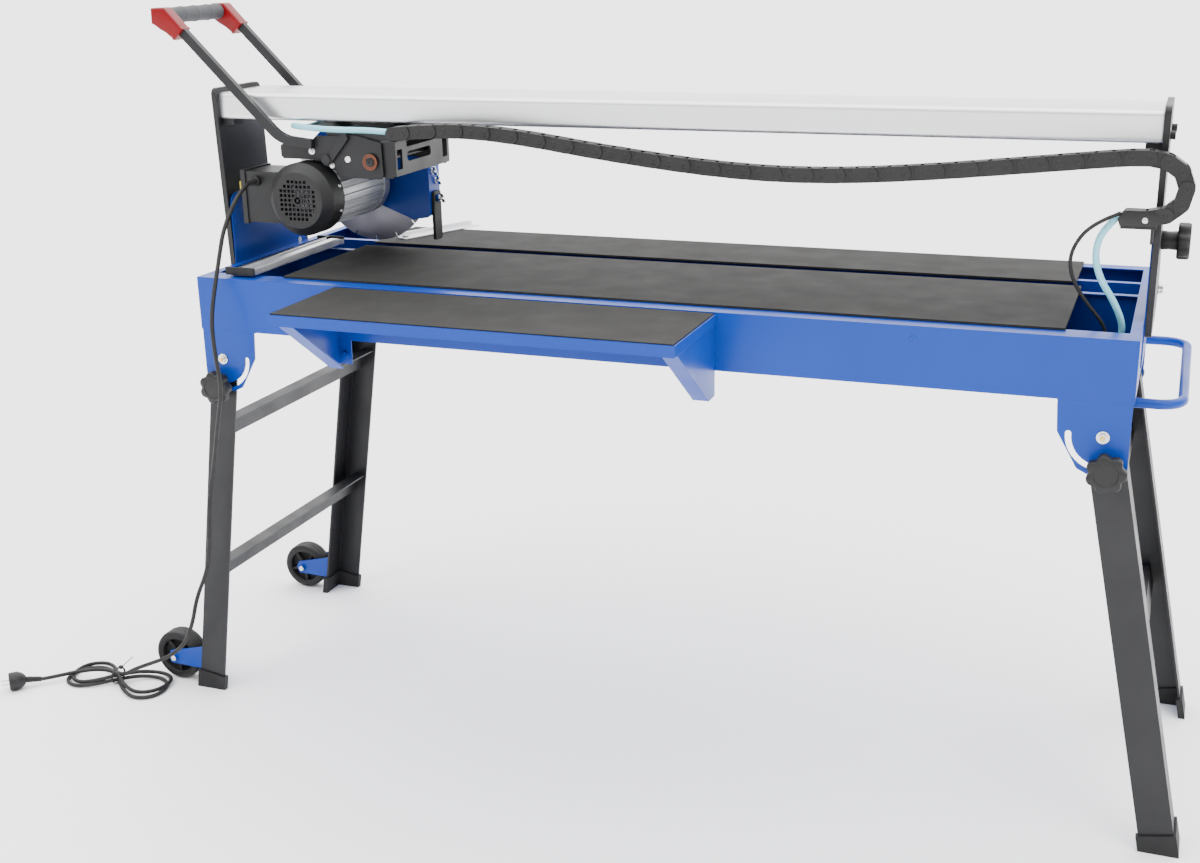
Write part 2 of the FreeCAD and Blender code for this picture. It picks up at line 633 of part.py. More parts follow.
# ---------------------------------------------------------------- carriage
ROLLER_Z = BEAM_Z0 + BEAM_WALL + 11.2
ROLLER_X = (-625.0, -500.0)
CARRIAGE_TOP = BEAM_Z0 - 8.0


CARRIAGE_Y0, CARRIAGE_Y1 = -163.0, 56.0
SIDE_PLATE = 4.0


def carriage():
    """Folded steel box under the beam: top, side plates, end plate, chain shelf, roller posts."""
    z_under = CARRIAGE_TOP - SIDE_PLATE
    pivot_a = (PLUNGE_X, CARRIAGE_Y0 - 5, PLUNGE_Z)
    pivot_b = (PLUNGE_X, CARRIAGE_Y1 + 5, PLUNGE_Z)
    bore = rod(7.05, pivot_a, pivot_b)
    cheek_outline = [(-560, 1060), (-478, 1046), (-474, 1050), (-474, z_under), (-618, z_under)]
    front = plate_xz(cheek_outline, CARRIAGE_Y0, CARRIAGE_Y0 + SIDE_PLATE).cut(bore)
    rear = plate_xz(cheek_outline, CARRIAGE_Y1 - SIDE_PLATE, CARRIAGE_Y1).cut(bore)
    top = box(-655, -470, CARRIAGE_Y0, CARRIAGE_Y1, z_under, CARRIAGE_TOP)
    end = box(-474, -470, CARRIAGE_Y0, CARRIAGE_Y1, 1050, z_under)
    end = end.cut(box(-480, -460, -118, -6, 1100, 1116))
    for y in (-147, 37):
        end = end.cut(box(-480, -460, y - 10, y + 10, 1062, 1098))
    oval = [(-118, 1073), (-22, 1073), (-22, 1091), (-118, 1091)]
    end = end.cut(plate_yz(oval, -480, -460, 8.9))
    shelf = box(-470, -440, -216, -140, CARRIAGE_TOP - 19.6, CARRIAGE_TOP - 16.6)
    plates = [front, rear, top, end, shelf]
    for x in ROLLER_X:
        post = box(x - 12, x + 12, -85, -65, CARRIAGE_TOP, ROLLER_Z + 8)
        plates.append(post.cut(rod(4.1, (x, -140, ROLLER_Z), (x, -10, ROLLER_Z))))
    return plates


def roller_set(x):
    """Two grooved rollers on one shaft, running inside the beam."""
    shaft = rod(4.05, (x, -136, ROLLER_Z), (x, -14, ROLLER_Z))
    front = rod(11.0, (x, -140, ROLLER_Z), (x, -132, ROLLER_Z))
    rear = rod(11.0, (x, -18, ROLLER_Z), (x, -10, ROLLER_Z))
    return fuse(shaft, front, rear)


export("left_roller_set", roller_set(ROLLER_X[0]))
export("right_roller_set", roller_set(ROLLER_X[1]))
plunge_pin = fuse(rod(7.0, (PLUNGE_X, -169, PLUNGE_Z), (PLUNGE_X, 61.5, PLUNGE_Z)),
                  rod(12.0, (PLUNGE_X, -172.5, PLUNGE_Z), (PLUNGE_X, -169.2, PLUNGE_Z)))
export("carriage_frame", group(*carriage(), plunge_pin))

# ---------------------------------------------------------------- saw head
HEAD_FRONT = -168.5
GUARD_Y0, GUARD_Y1 = 62.0, 108.0
CHEEK_Y = 57.5


def head_bracket():
    """Swinging frame: front plate on the pivot, plate over the motor, rear plate."""
    front_outline = [(-708, 1080), (-708, 1105), (-634, 1101), (-634, 1121), (-548, 1124),
                     (-496, 1112), (-494, 1052), (-500, 1046), (-586, 1046), (-604, 1078)]
    front = plate_xz(front_outline, HEAD_FRONT, HEAD_FRONT + 4, 5.0)
    saddle = box(-704, -604, HEAD_FRONT, GUARD_Y0, 1078, 1082)
    cheek = plate_xz([(-704, 1078), (-704, 1100), (-600, 1104), (-500, 1100), (-494, 1060),
                      (-560, 1056), (-604, 1078)], CHEEK_Y, GUARD_Y0, 5.0)
    bracket = fuse(front, saddle, cheek)
    return bracket.cut(rod(7.05, (PLUNGE_X, -180, PLUNGE_Z), (PLUNGE_X, 80, PLUNGE_Z)))


saddle_relief = box(-662, -590, -164, -140, 1100, 1200)
export("head_bracket", head_bracket().cut(saddle_relief))


def motor_housing():
    """Finned aluminium barrel with end bell and feet up to the saddle."""
    y0, y1 = -150.0, 40.0
    axis_a, axis_b = (AXIS_X, y0, AXIS_Z), (AXIS_X, y1, AXIS_Z)
    body = rod(MOTOR_R - 6, axis_a, axis_b)
    fins = []
    for k in range(28):
        a = 360.0 * k / 28.0
        fin = box(AXIS_X + MOTOR_R - 8, AXIS_X + MOTOR_R, y0 + 6, y1 - 24, AXIS_Z - 1.4, AXIS_Z + 1.4)
        fins.append(turned(fin, (AXIS_X, 0, AXIS_Z), (0, 1, 0), a))
    bell = rod(MOTOR_R - 1, (AXIS_X, y1 - 20, AXIS_Z), (AXIS_X, y1, AXIS_Z))
    nose = rod(24, (AXIS_X, y1 - 1, AXIS_Z), (AXIS_X, y1 + 20, AXIS_Z))
    foot_a = box(AXIS_X - 34, AXIS_X + 34, -128, -104, AXIS_Z + 30, 1078)
    foot_b = box(AXIS_X - 34, AXIS_X + 34, 0, 24, AXIS_Z + 30, 1078)
    body = fuse(body, bell, nose, foot_a, foot_b, *fins)
    body = body.cut(rod(42, (AXIS_X, y0 - 1, AXIS_Z), (AXIS_X, y1 - 8, AXIS_Z)))
    return body.cut(rod(8.06, (AXIS_X, y0 - 2, AXIS_Z), (AXIS_X, y1 + 30, AXIS_Z)))


export("motor_housing", motor_housing())


def fan_cover():
    """Bevelled cup over the cooling fan with a round square-mesh grille."""
    y_back, y_front = -150.0, -206.0
    a_back = (AXIS_X, y_back, AXIS_Z)
    barrel = rod(COVER_R, (AXIS_X, y_front + 16, AXIS_Z), a_back)
    bevel = Part.makeCone(COVER_R - 16, COVER_R, 16, V(AXIS_X, y_front, AXIS_Z), V(0, 1, 0))
    outside = barrel.fuse(bevel)
    inside = rod(COVER_R - 3, (AXIS_X, y_front + 17, AXIS_Z), (AXIS_X, y_back + 1, AXIS_Z))
    inside = inside.fuse(Part.makeCone(COVER_R - 18, COVER_R - 3, 14, V(AXIS_X, y_front + 3, AXIS_Z),
                                       V(0, 1, 0)))
    cup = outside.cut(inside)
    holes = []
    pitch, side = 8.6, 5.6
    for i in range(-5, 6):
        for j in range(-5, 6):
            cx, cz = i * pitch, j * pitch
            if math.hypot(cx, cz) > 42.5:
                continue
            holes.append(box(AXIS_X + cx - side / 2, AXIS_X + cx + side / 2, y_front - 1, y_front + 4,
                             AXIS_Z + cz - side / 2, AXIS_Z + cz + side / 2))
    return cup.cut(Part.makeCompound(holes))


export("fan_cover", fan_cover())

BOX_X0, BOX_X1 = -813.0, -718.0
BOX_Y0, BOX_Y1 = -150.0, -62.0
BOX_Z0, BOX_Z1 = 951.0, 1048.0


def switch_box():
    """Box on the side of the motor; lid with four screws on its outer side."""
    body = box(BOX_X0 + 10, BOX_X1, BOX_Y0, BOX_Y1, BOX_Z0, BOX_Z1)
    lid = box(BOX_X0, BOX_X0 + 10, BOX_Y0 - 3, BOX_Y1 + 3, BOX_Z0 - 3, BOX_Z1 + 3)
    body = body.fuse(lid)
    body = body.cut(box(BOX_X0 + 3, BOX_X1 - 3, BOX_Y0 + 3, BOX_Y1 - 3, BOX_Z0 + 3, BOX_Z1 - 3))
    body = body.cut(rod(MOTOR_R + 0.2, (AXIS_X, -300, AXIS_Z), (AXIS_X, 300, AXIS_Z)))
    for z in (1014.0, 984.0):
        body = body.cut(box(BOX_X0 - 2, BOX_X0 + 4, -119, -93, z - 11, z + 11))
    return body.cut(rod(7.0, (-779, BOX_Y0 - 5, 1030), (-779, BOX_Y0 + 5, 1030)))


export("switch_box", switch_box())
export("start_button", box(BOX_X0 - 4, BOX_X0 + 2.6, -118.7, -93.3, 1003.3, 1024.7))
export("stop_button", box(BOX_X0 - 6, BOX_X0 + 2.6, -118.7, -93.3, 973.3, 994.7))

GLAND = (-779.0, BOX_Y0 - 26.0, 1030.0)
gland = fuse(ring(7.0, CORD_D / 2, (-779, BOX_Y0 - 26, 1030), (-779, BOX_Y0 + 3, 1030)),
             ring(10.0, CORD_D / 2, (-779, BOX_Y0 - 8, 1030), (-779, BOX_Y0, 1030)))
export("cable_gland", gland)

# ---------------------------------------------------------------- blade, shaft and guard
blade = ring(BLADE_D / 2, BORE_D / 2, (AXIS_X, BLADE_Y - BLADE_T / 2, AXIS_Z),
             (AXIS_X, BLADE_Y + BLADE_T / 2, AXIS_Z))
notches = []
for k in range(16):
    notch = box(AXIS_X - 1.2, AXIS_X + 1.2, BLADE_Y - 3, BLADE_Y + 3, AXIS_Z + BLADE_D / 2 - 9,
                AXIS_Z + BLADE_D / 2 + 2)
    notches.append(turned(notch, (AXIS_X, 0, AXIS_Z), (0, 1, 0), 360.0 * k / 16.0))
export("blade", blade.cut(Part.makeCompound(notches)))

shaft = fuse(rod(8.0, (AXIS_X, -186, AXIS_Z), (AXIS_X, 62, AXIS_Z)),
             rod(BORE_D / 2 - 0.02, (AXIS_X, 61, AXIS_Z), (AXIS_X, BLADE_Y + 4, AXIS_Z)),
             rod(30.0, (AXIS_X, 68, AXIS_Z), (AXIS_X, BLADE_Y - BLADE_T / 2, AXIS_Z)),
             rod(36.0, (AXIS_X, -140, AXIS_Z), (AXIS_X, 20, AXIS_Z)))
nut = fuse(ring(30.0, BORE_D / 2, (AXIS_X, BLADE_Y + BLADE_T / 2, AXIS_Z),
                (AXIS_X, BLADE_Y + 4.0, AXIS_Z)),
           rod(13.0, (AXIS_X, BLADE_Y + 4, AXIS_Z), (AXIS_X, BLADE_Y + 15, AXIS_Z)))


def cooling_fan():
    hub = ring(16, 8.0, (AXIS_X, -184, AXIS_Z), (AXIS_X, -164, AXIS_Z))
    vanes = []
    for k in range(8):
        vane = box(AXIS_X - 1.2, AXIS_X + 1.2, -184, -162, AXIS_Z + 14, AXIS_Z + 54)
        vanes.append(turned(vane, (AXIS_X, 0, AXIS_Z), (0, 1, 0), 45.0 * k))
    disc = ring(54, 15, (AXIS_X, -164, AXIS_Z), (AXIS_X, -161, AXIS_Z))
    return fuse(hub, disc, *vanes)


export("rotor_shaft", group(shaft, nut, cooling_fan()))


def blade_guard():
    """Two-sided steel guard over the upper part of the blade, open below."""
    y0, y1 = GUARD_Y0, GUARD_Y1
    outline = [(-792, 1000), (-780, 1082), (-730, 1126), (-676, 1137), (-638, 1137),
               (-588, 1122), (-546, 1080), (-521, 1044), (-521, 936), (-560, 930),
               (-640, 960), (-700, 972), (-770, 976)]
    outer = plate_xz(outline, y0, y1, 10.0)
    inner = plate_xz([(-789.5, 1000), (-777.5, 1081), (-729, 1123.5), (-675, 1134.5),
                      (-639, 1134.5), (-589, 1119.5), (-548, 1078), (-523.5, 1043), (-523.5, 900),
                      (-789.5, 900)], y0 + 2, y1 - 2, 9.0)
    guard = outer.cut(inner)
    guard = guard.cut(rod(25, (AXIS_X, y0 - 2, AXIS_Z), (AXIS_X, y0 + 6, AXIS_Z)))
    return guard.fuse(rod(4.0, (-684, 52, 1129), (-684, y0 + 1, 1129)))


def splash_flap():
    """Rubber strap hanging from the front end of the guard on a clamping screw."""
    return plate_yz([(69, 986), (99, 986), (99, 889), (69, 889)], -520.6, -514.6, 6.0)


flap = splash_flap()
export("splash_flap", flap.cut(rod(3.05, (-530, 84, 972), (-500, 84, 972))))
flap_screw = fuse(rod(3.0, (-521, 84, 972), (-512, 84, 972)),
                  rod(7.0, (-514.3, 84, 972), (-510, 84, 972)))
export("blade_guard", group(blade_guard(), flap_screw))

# ---------------------------------------------------------------- handle
ARM_W, ARM_T = 17.0, 12.0


def handle_arm(y0):
    """Flat bar: long 45 degree run, a wide bend, then a level foot on the head frame."""
    y = y0 + ARM_T / 2.0
    top, elbow, foot = V(-910, y, 1322), V(-700, y, 1113.5), V(-634, y, 1107)
    path = rounded_wire([tuple(top), tuple(elbow), tuple(foot)], 70.0, closed=False)
    along = (elbow - top).normalize()
    across = V(-along.z, 0, along.x) * (ARM_W / 2.0)
    depth = V(0, ARM_T / 2.0, 0)
    corners = [top + across + depth, top + across - depth, top - across - depth, top - across + depth]
    section = Part.makePolygon(corners + [corners[0]])
    return path.makePipeShell([section], True, False)


front_arm = handle_arm(-180.6)
rear_arm = handle_arm(14.0)
cheek_bolt = rod(8.0, (-645, 26, 1096), (-645, CHEEK_Y, 1096))
rear_arm = rear_arm.fuse(box(-653, -637, 14, 26, 1088, 1104)).fuse(cheek_bolt)
export("handle_arms", group(front_arm, rear_arm))


def handle_corner(y0, y1):
    """Angular plastic end piece gripping the arm's top."""
    block = plate_xz([(-955, 1352), (-925, 1352), (-889, 1314), (-910, 1292), (-934, 1316),
                      (-957, 1322)], y0, y1, 4.0)
    return block


corner_front = handle_corner(-188, -160).cut(front_arm)
corner_rear = handle_corner(6, 34).cut(rear_arm)
export("handle_corners", group(corner_front, corner_rear))
grip = rod(15.5, (-938, -160, 1336), (-938, 6, 1336))
grooves = [ring(18, 14.5, (-938, y, 1336), (-938, y + 2, 1336)) for y in (-120, -90, -60, -30)]
export("handle_grip", grip.cut(Part.makeCompound(grooves)))

# ---------------------------------------------------------------- plunge lock
LEVER = (-611.0, 1076.0)
lever = fuse(plate_xz([(-617, 1068), (-603, 1068), (-560, 1118), (-564, 1128), (-576, 1126)],
                      -175.0, -171.0, 4.0),
             rod(9.0, (LEVER[0] + 3, -178.0, LEVER[1] + 3), (LEVER[0] + 3, -168.8, LEVER[1] + 3)))
export("plunge_lock_lever", lever)

# ---------------------------------------------------------------- drag chain
CHAIN_Y0, CHAIN_Y1 = -214.0, -188.0
CHAIN_H = 24.0


def drag_chain():
    """Link chain sagging beside the beam, looping back to its fixed end bracket."""
    upper = [(-448, 1134), (-390, 1139), (-300, 1141.5), (-190, 1132), (-60, 1114), (110, 1095),
             (240, 1087.5), (360, 1089), (500, 1099), (650, 1114.5), (790, 1128)]
    pts = list(upper)
    cx, cz, r = 838.0, 1086.0, 46.0
    for deg in (80, 55, 30, 5, -20, -45, -70, -90):
        a = math.radians(deg)
        pts.append((cx + r * math.cos(a), cz + r * math.sin(a)))
    pts.append((800, 1040))
    left, right = [], []
    for i, (x, z) in enumerate(pts):
        xa, za = pts[max(i - 1, 0)]
        xb, zb = pts[min(i + 1, len(pts) - 1)]
        n = math.hypot(xb - xa, zb - za)
        nx, nz = -(zb - za) / n * CHAIN_H / 2, (xb - xa) / n * CHAIN_H / 2
        left.append((x + nx, z + nz))
        right.append((x - nx, z - nz))
    return plate_xz(left + right[::-1], CHAIN_Y0, CHAIN_Y1)


export("drag_chain", drag_chain())
chain_bracket = fuse(box(794, 846, CHAIN_Y0, -182, 1024.4, 1027.6),
                     box(838.4, 842.4, CHAIN_Y0 + 4, -160, 1001, 1027.6))
export("chain_bracket", chain_bracket)

# ---------------------------------------------------------------- pump, hoses and cords
PUMP = (800.0, -165.0)
pump = fuse(rod(32, (*PUMP, RAIL_BOTTOM + 6), (*PUMP, RAIL_BOTTOM + 50)),
            rod(7, (808, -165, RAIL_BOTTOM + 50), (808, -165, RAIL_BOTTOM + 62)),
            rod(5, (786, -181, RAIL_BOTTOM + 50), (786, -181, RAIL_BOTTOM + 62)))
export("pump", pump)

export("pump_hose", cord_route("pump_hose", [
    (793, -196, 1044), (768, -197, 1019), (759, -197, 982), (769, -194, 942),
    (793, -186, 905), (808, -173, 868), (808, -166, 846), (808, -165, 830.4)], HOSE_D))
export("pump_cable", cord_route("pump_cable", [
    (794, -208, 1047), (752, -208, 1030), (723, -204, 985), (726, -196, 944),
    (749, -190, 905), (777, -184, 872), (786, -181, 850), (786, -181, 830.4)], CABLE_D))
export("head_hose", cord_route("head_hose", [
    (-449.6, -199, 1135), (-500, -195, 1138), (-560, -188, 1136), (-622, -186, 1137),
    (-672, -174, 1140), (-700, -132, 1134), (-706, -84, 1125), (-704, -38, 1126),
    (-697, 8, 1135), (-684, 50, 1129)], HOSE_D))

export("power_cord_upper", cord_route("power_cord_upper", [
    GLAND, (-780, -207, 1021), (-784, -232, 991)], CORD_D))
export("power_cord_middle", cord_route("power_cord_middle", [
    (-784, -232, 991), (-788, -257, 961), (-785, -286, 908), (-782, -316, 848)], CORD_D))
export("power_cord_lower", cord_route("power_cord_lower", [
    (-782, -316, 848), (-780, -336, 808), (-774, -344, 742), (-767, -342, 672),
    (-790, -334, 598), (-812, -325, 518), (-842, -315, 430), (-850, -314, 350),
    (-858, -318, 285), (-886, -326, 224), (-896, -335, 168), (-916, -342, 122),
    (-957, -345, 90), (-1000, -344, 70)], CORD_D))
export("cord_hank",
       plate_xy([(-998, -368), (-998, -300), (-1062, -262), (-1130, -262), (-1196, -300),
                 (-1208, -372), (-1160, -396), (-1080, -372)], 0.5, 30.0, 14.0)
       .fuse(rod(CORD_D / 2, (-1000, -344, 70), (-1088, -342, 29)))
       .fuse(rod(CORD_D / 2, (-1200, -354, 12), (-1252, -384, 12))))
plug = fuse(rod(6.5, (-1252, -384, 12), (-1278, -408, 14)),
            rod(18, (-1278, -408, 18.5), (-1300, -429, 18.5)),
            rod(2.4, (-1300, -421, 14), (-1314, -434, 14)),
            rod(2.4, (-1296, -429, 26), (-1310, -442, 26)))
export("power_plug", plug)
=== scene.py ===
import math

import bmesh
import bpy
from mathutils import Matrix, Vector


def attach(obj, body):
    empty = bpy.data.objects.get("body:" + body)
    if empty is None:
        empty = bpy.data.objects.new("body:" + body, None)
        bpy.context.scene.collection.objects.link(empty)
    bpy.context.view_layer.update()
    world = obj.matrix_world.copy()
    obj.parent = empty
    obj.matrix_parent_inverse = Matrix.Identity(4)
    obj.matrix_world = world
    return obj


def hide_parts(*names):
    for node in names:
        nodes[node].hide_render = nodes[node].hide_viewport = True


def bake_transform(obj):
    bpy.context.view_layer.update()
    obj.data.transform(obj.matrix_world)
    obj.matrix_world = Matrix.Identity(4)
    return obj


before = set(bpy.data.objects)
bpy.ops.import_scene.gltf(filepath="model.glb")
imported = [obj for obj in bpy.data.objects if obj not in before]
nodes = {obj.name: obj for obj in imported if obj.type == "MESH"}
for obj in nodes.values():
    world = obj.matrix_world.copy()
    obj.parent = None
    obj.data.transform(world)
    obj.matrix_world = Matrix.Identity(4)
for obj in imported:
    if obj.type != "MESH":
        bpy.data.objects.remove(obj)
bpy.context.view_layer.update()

# The CAD part is drawn about the middle of the table and exported with this shift, so a
# point written in the drawing's millimetres becomes a point of the shared frame in metres.
SHIFT = Vector((0.035, 0.086, 0.0))


def at(x, y, z):
    """Point of the shared frame, in metres, from the drawing's millimetres."""
    return Vector((x, y, z)) / 1000.0 + SHIFT


# Places that several pieces use, in the drawing's millimetres.
LEG_PIVOT_X, LEG_PIVOT_Z = 798, 712
LEFT_SPLAY, RIGHT_SPLAY = 8.6, 11.3     # degrees outward
KNOB_FROM_PIVOT = 52.0
LEG_KNOB_Y = 284.4                      # outer face of the leg bracket
TILT_KNOB_X, TILT_KNOB_Y, TILT_KNOB_Z = 852.8, -40, 978
MOTOR_X, MOTOR_Z = -657, 1006
PLUNGE_X, PLUNGE_Z = -518, 1077
PLUNGE_FACE_Y = -172.6                  # front end of the plunge pin
HEAD_FACE_Y = -168.6                    # front of the head bracket
BOX_FACE_X = -813                       # outer side of the switch box
WHEEL_X, WHEEL_Z = -992, 54


# ---------------------------------------------------------------- camera
YAW, PITCH, ROLL = 0.3697, 0.3104, -0.0192
LENS = 46.213
SENSOR = 36.0
CAMERA_AT = (889.9, -2668.0, 1461.1)


def make_camera():
    ahead = Vector((-math.sin(YAW) * math.cos(PITCH), math.cos(YAW) * math.cos(PITCH),
                    -math.sin(PITCH)))
    level = Vector((math.cos(YAW), math.sin(YAW), 0.0))
    above = level.cross(ahead)
    right = math.cos(ROLL) * level + math.sin(ROLL) * above
    up = math.cos(ROLL) * above - math.sin(ROLL) * level
    data = bpy.data.cameras.new("camera")
    data.lens = LENS
    data.sensor_width = SENSOR
    data.sensor_fit = "HORIZONTAL"
    camera = bpy.data.objects.new("camera", data)
    turn = Matrix((right, up, -ahead)).transposed().to_4x4()
    camera.matrix_world = Matrix.Translation(at(*CAMERA_AT)) @ turn
    bpy.context.collection.objects.link(camera)
    bpy.context.scene.camera = camera


make_camera()


# ---------------------------------------------------------------- materials
def node_tree(name):
    mat = bpy.data.materials.new(name)
    mat.use_nodes = True
    return mat, mat.node_tree.nodes, mat.node_tree.links


def noise(tree, links, scale, detail=4.0, stretch=(1, 1, 1)):
    coords = tree.new("ShaderNodeTexCoord")
    mapping = tree.new("ShaderNodeMapping")
    mapping.inputs["Scale"].default_value = stretch
    links.new(coords.outputs["Object"], mapping.inputs["Vector"])
    tex = tree.new("ShaderNodeTexNoise")
    tex.inputs["Scale"].default_value = scale
    tex.inputs["Detail"].default_value = detail
    links.new(mapping.outputs["Vector"], tex.inputs["Vector"])
    return tex.outputs["Fac"]


def ranged(tree, links, source, low, high):
    node = tree.new("ShaderNodeMapRange")
    node.inputs["From Min"].default_value = 0.3
    node.inputs["From Max"].default_value = 0.7
    node.inputs["To Min"].default_value = low
    node.inputs["To Max"].default_value = high
    links.new(source, node.inputs["Value"])
    return node.outputs["Result"]


def mixed(tree, links, fac, a, b):
    node = tree.new("ShaderNodeMix")
    node.data_type = "RGBA"
    links.new(fac, node.inputs["Factor"])
    for socket, value in ((node.inputs[6], a), (node.inputs[7], b)):
        if isinstance(value, tuple):
            socket.default_value = (*value, 1.0)
        else:
            links.new(value, socket)
    return node.outputs[2]


def edge_mask(tree, links, radius):
    """1 on sharp edges, 0 on flats: how far the rounded normal leans from the face's own."""
    bevel = tree.new("ShaderNodeBevel")
    bevel.inputs["Radius"].default_value = radius
    geometry = tree.new("ShaderNodeNewGeometry")
    dot = tree.new("ShaderNodeVectorMath")
    dot.operation = "DOT_PRODUCT"
    links.new(bevel.outputs["Normal"], dot.inputs[0])
    links.new(geometry.outputs["Normal"], dot.inputs[1])
    node = tree.new("ShaderNodeMapRange")
    node.inputs["From Min"].default_value = 0.99
    node.inputs["From Max"].default_value = 0.80
    links.new(dot.outputs["Value"], node.inputs["Value"])
    return node.outputs["Result"], bevel.outputs["Normal"]


def surface(name, light, dark, rough=(0.4, 0.5), metallic=0.0, coat=0.0, blotch=6.0,
            grain=400.0, bump=0.15, stretch=(1, 1, 1), edge=None, wear=0.35, radius=0.0012,
            specular=0.5):
    """Painted, moulded or bare finish: blotchy colour, uneven gloss, grain and worn edges."""
    mat, tree, links = node_tree(name)
    shader = tree["Principled BSDF"]
    shader.inputs["Metallic"].default_value = metallic
    shader.inputs["Specular IOR Level"].default_value = specular
    shader.inputs["Coat Weight"].default_value = coat
    shader.inputs["Coat Roughness"].default_value = 0.12
    large = noise(tree, links, blotch, 5.0, stretch)
    colour = mixed(tree, links, ranged(tree, links, large, 0.0, 1.0), dark, light)
    mask, soft_normal = edge_mask(tree, links, radius)
    if edge is not None:
        chips = noise(tree, links, 90.0, 3.0)
        amount = tree.new("ShaderNodeMath")
        amount.operation = "MULTIPLY"
        links.new(mask, amount.inputs[0])
        links.new(ranged(tree, links, chips, 0.0, wear), amount.inputs[1])
        colour = mixed(tree, links, amount.outputs["Value"], colour, edge)
    links.new(colour, shader.inputs["Base Color"])
    scuffs = noise(tree, links, blotch * 3.0, 6.0, stretch)
    links.new(ranged(tree, links, scuffs, rough[0], rough[1]), shader.inputs["Roughness"])
    fine = noise(tree, links, grain, 2.0, stretch)
    relief = tree.new("ShaderNodeBump")
    relief.inputs["Strength"].default_value = bump
    relief.inputs["Distance"].default_value = 0.0004
    links.new(fine, relief.inputs["Height"])
    links.new(soft_normal, relief.inputs["Normal"])
    links.new(relief.outputs["Normal"], shader.inputs["Normal"])
    return mat


def hose_material():
    mat = surface("hose_silicone", (0.26, 0.62, 0.72), (0.20, 0.54, 0.66), (0.18, 0.3),
                  grain=300.0, bump=0.05)
    shader = mat.node_tree.nodes["Principled BSDF"]
    shader.inputs["Subsurface Weight"].default_value = 0.6
    shader.inputs["Subsurface Radius"].default_value = (0.004, 0.006, 0.007)
    return mat


MATS = {
    "blue": surface("blue_paint", (0.0020, 0.0420, 0.310), (0.0016, 0.0360, 0.275),
                    (0.28, 0.42), coat=0.06, grain=700.0, bump=0.05, edge=(0.014, 0.10, 0.46),
                    wear=0.30, blotch=3.0, specular=0.22),
    "black": surface("black_paint", (0.0105, 0.0105, 0.0120), (0.0070, 0.0070, 0.0082),
                     (0.36, 0.5), grain=900.0, bump=0.10, edge=(0.08, 0.08, 0.085), wear=0.4,
                     specular=0.34),
    "mat": surface("table_rubber", (0.0210, 0.0200, 0.0190), (0.0165, 0.0158, 0.0150),
                   (0.76, 0.88), grain=1500.0, bump=0.4, blotch=5.0, edge=(0.06, 0.06, 0.06),
                   specular=0.25),
    "boot": surface("boot_rubber", (0.013, 0.013, 0.0135), (0.009, 0.009, 0.0095), (0.55, 0.75),
                    grain=900.0, bump=0.25, edge=(0.05, 0.05, 0.05), specular=0.3),
    "alu": surface("aluminium", (0.86, 0.87, 0.88), (0.76, 0.77, 0.79), (0.30, 0.42),
                   metallic=0.85, grain=900.0, bump=0.08, stretch=(0.05, 1.0, 1.0),
                   edge=(0.95, 0.95, 0.95), radius=0.004),
    "cast": surface("cast_aluminium", (0.62, 0.63, 0.65), (0.42, 0.43, 0.45), (0.34, 0.52),
                    metallic=0.85, grain=700.0, bump=0.3, edge=(0.8, 0.8, 0.8)),
    "steel": surface("blade_steel", (0.34, 0.33, 0.37), (0.26, 0.255, 0.29), (0.34, 0.5),
                     metallic=0.9, grain=800.0, bump=0.1, edge=(0.6, 0.6, 0.6)),
    "zinc": surface("zinc_plate", (0.78, 0.78, 0.76), (0.62, 0.62, 0.60), (0.2, 0.34), metallic=1.0,
                    grain=900.0, bump=0.06, edge=(0.9, 0.9, 0.9), radius=0.0006),
    "brass": surface("brass", (0.80, 0.56, 0.20), (0.60, 0.40, 0.14), (0.25, 0.4), metallic=1.0,
                     edge=(0.95, 0.8, 0.45), radius=0.0006),
    "copper": surface("copper_ring", (0.16, 0.055, 0.03), (0.10, 0.035, 0.02), (0.4, 0.55),
                      metallic=0.6, edge=(0.25, 0.10, 0.06), radius=0.0005),
    "plastic": surface("black_plastic", (0.0100, 0.0100, 0.0105), (0.0070, 0.0070, 0.0074),
                       (0.42, 0.58), grain=1100.0, bump=0.3, edge=(0.05, 0.05, 0.05),
                       specular=0.35),
    "chain": surface("chain_plastic", (0.0100, 0.0092, 0.0088), (0.0066, 0.0062, 0.0060),
                     (0.35, 0.5), grain=900.0, bump=0.15, edge=(0.055, 0.05, 0.05),
                     radius=0.0008, specular=0.35),
    "box": surface("switch_box_plastic", (0.0125, 0.0128, 0.0135), (0.0095, 0.0098, 0.0104),
                   (0.4, 0.52), grain=1300.0, bump=0.3, edge=(0.06, 0.06, 0.06), specular=0.35),
    "red": surface("red_plastic", (0.200, 0.0010, 0.0035), (0.165, 0.0008, 0.0030), (0.28, 0.38),
                   coat=0.05, grain=700.0, bump=0.05, edge=(0.26, 0.006, 0.010), radius=0.002,
                   specular=0.25),
    "grip": surface("grip_rubber", (0.060, 0.062, 0.068), (0.044, 0.046, 0.051), (0.55, 0.7),
                    grain=1200.0, bump=0.35, edge=(0.2, 0.2, 0.21)),
    "green": surface("green_plastic", (0.008, 0.16, 0.04), (0.005, 0.12, 0.03), (0.3, 0.4),
                     coat=0.2),
    "yellow": surface("yellow_plastic", (0.62, 0.45, 0.008), (0.54, 0.38, 0.006), (0.3, 0.4),
                      coat=0.2, edge=(0.95, 0.8, 0.3)),
    "cord": surface("cord_rubber", (0.0120, 0.0115, 0.0112), (0.0080, 0.0078, 0.0076), (0.5, 0.66),
                    grain=900.0, bump=0.15, blotch=14.0, specular=0.35),
    "tyre": surface("tyre_rubber", (0.0130, 0.0130, 0.0135), (0.0090, 0.0090, 0.0095), (0.5, 0.7),
                    grain=800.0, bump=0.25, edge=(0.05, 0.05, 0.05), radius=0.002, specular=0.3),
    "hose": hose_material(),
}

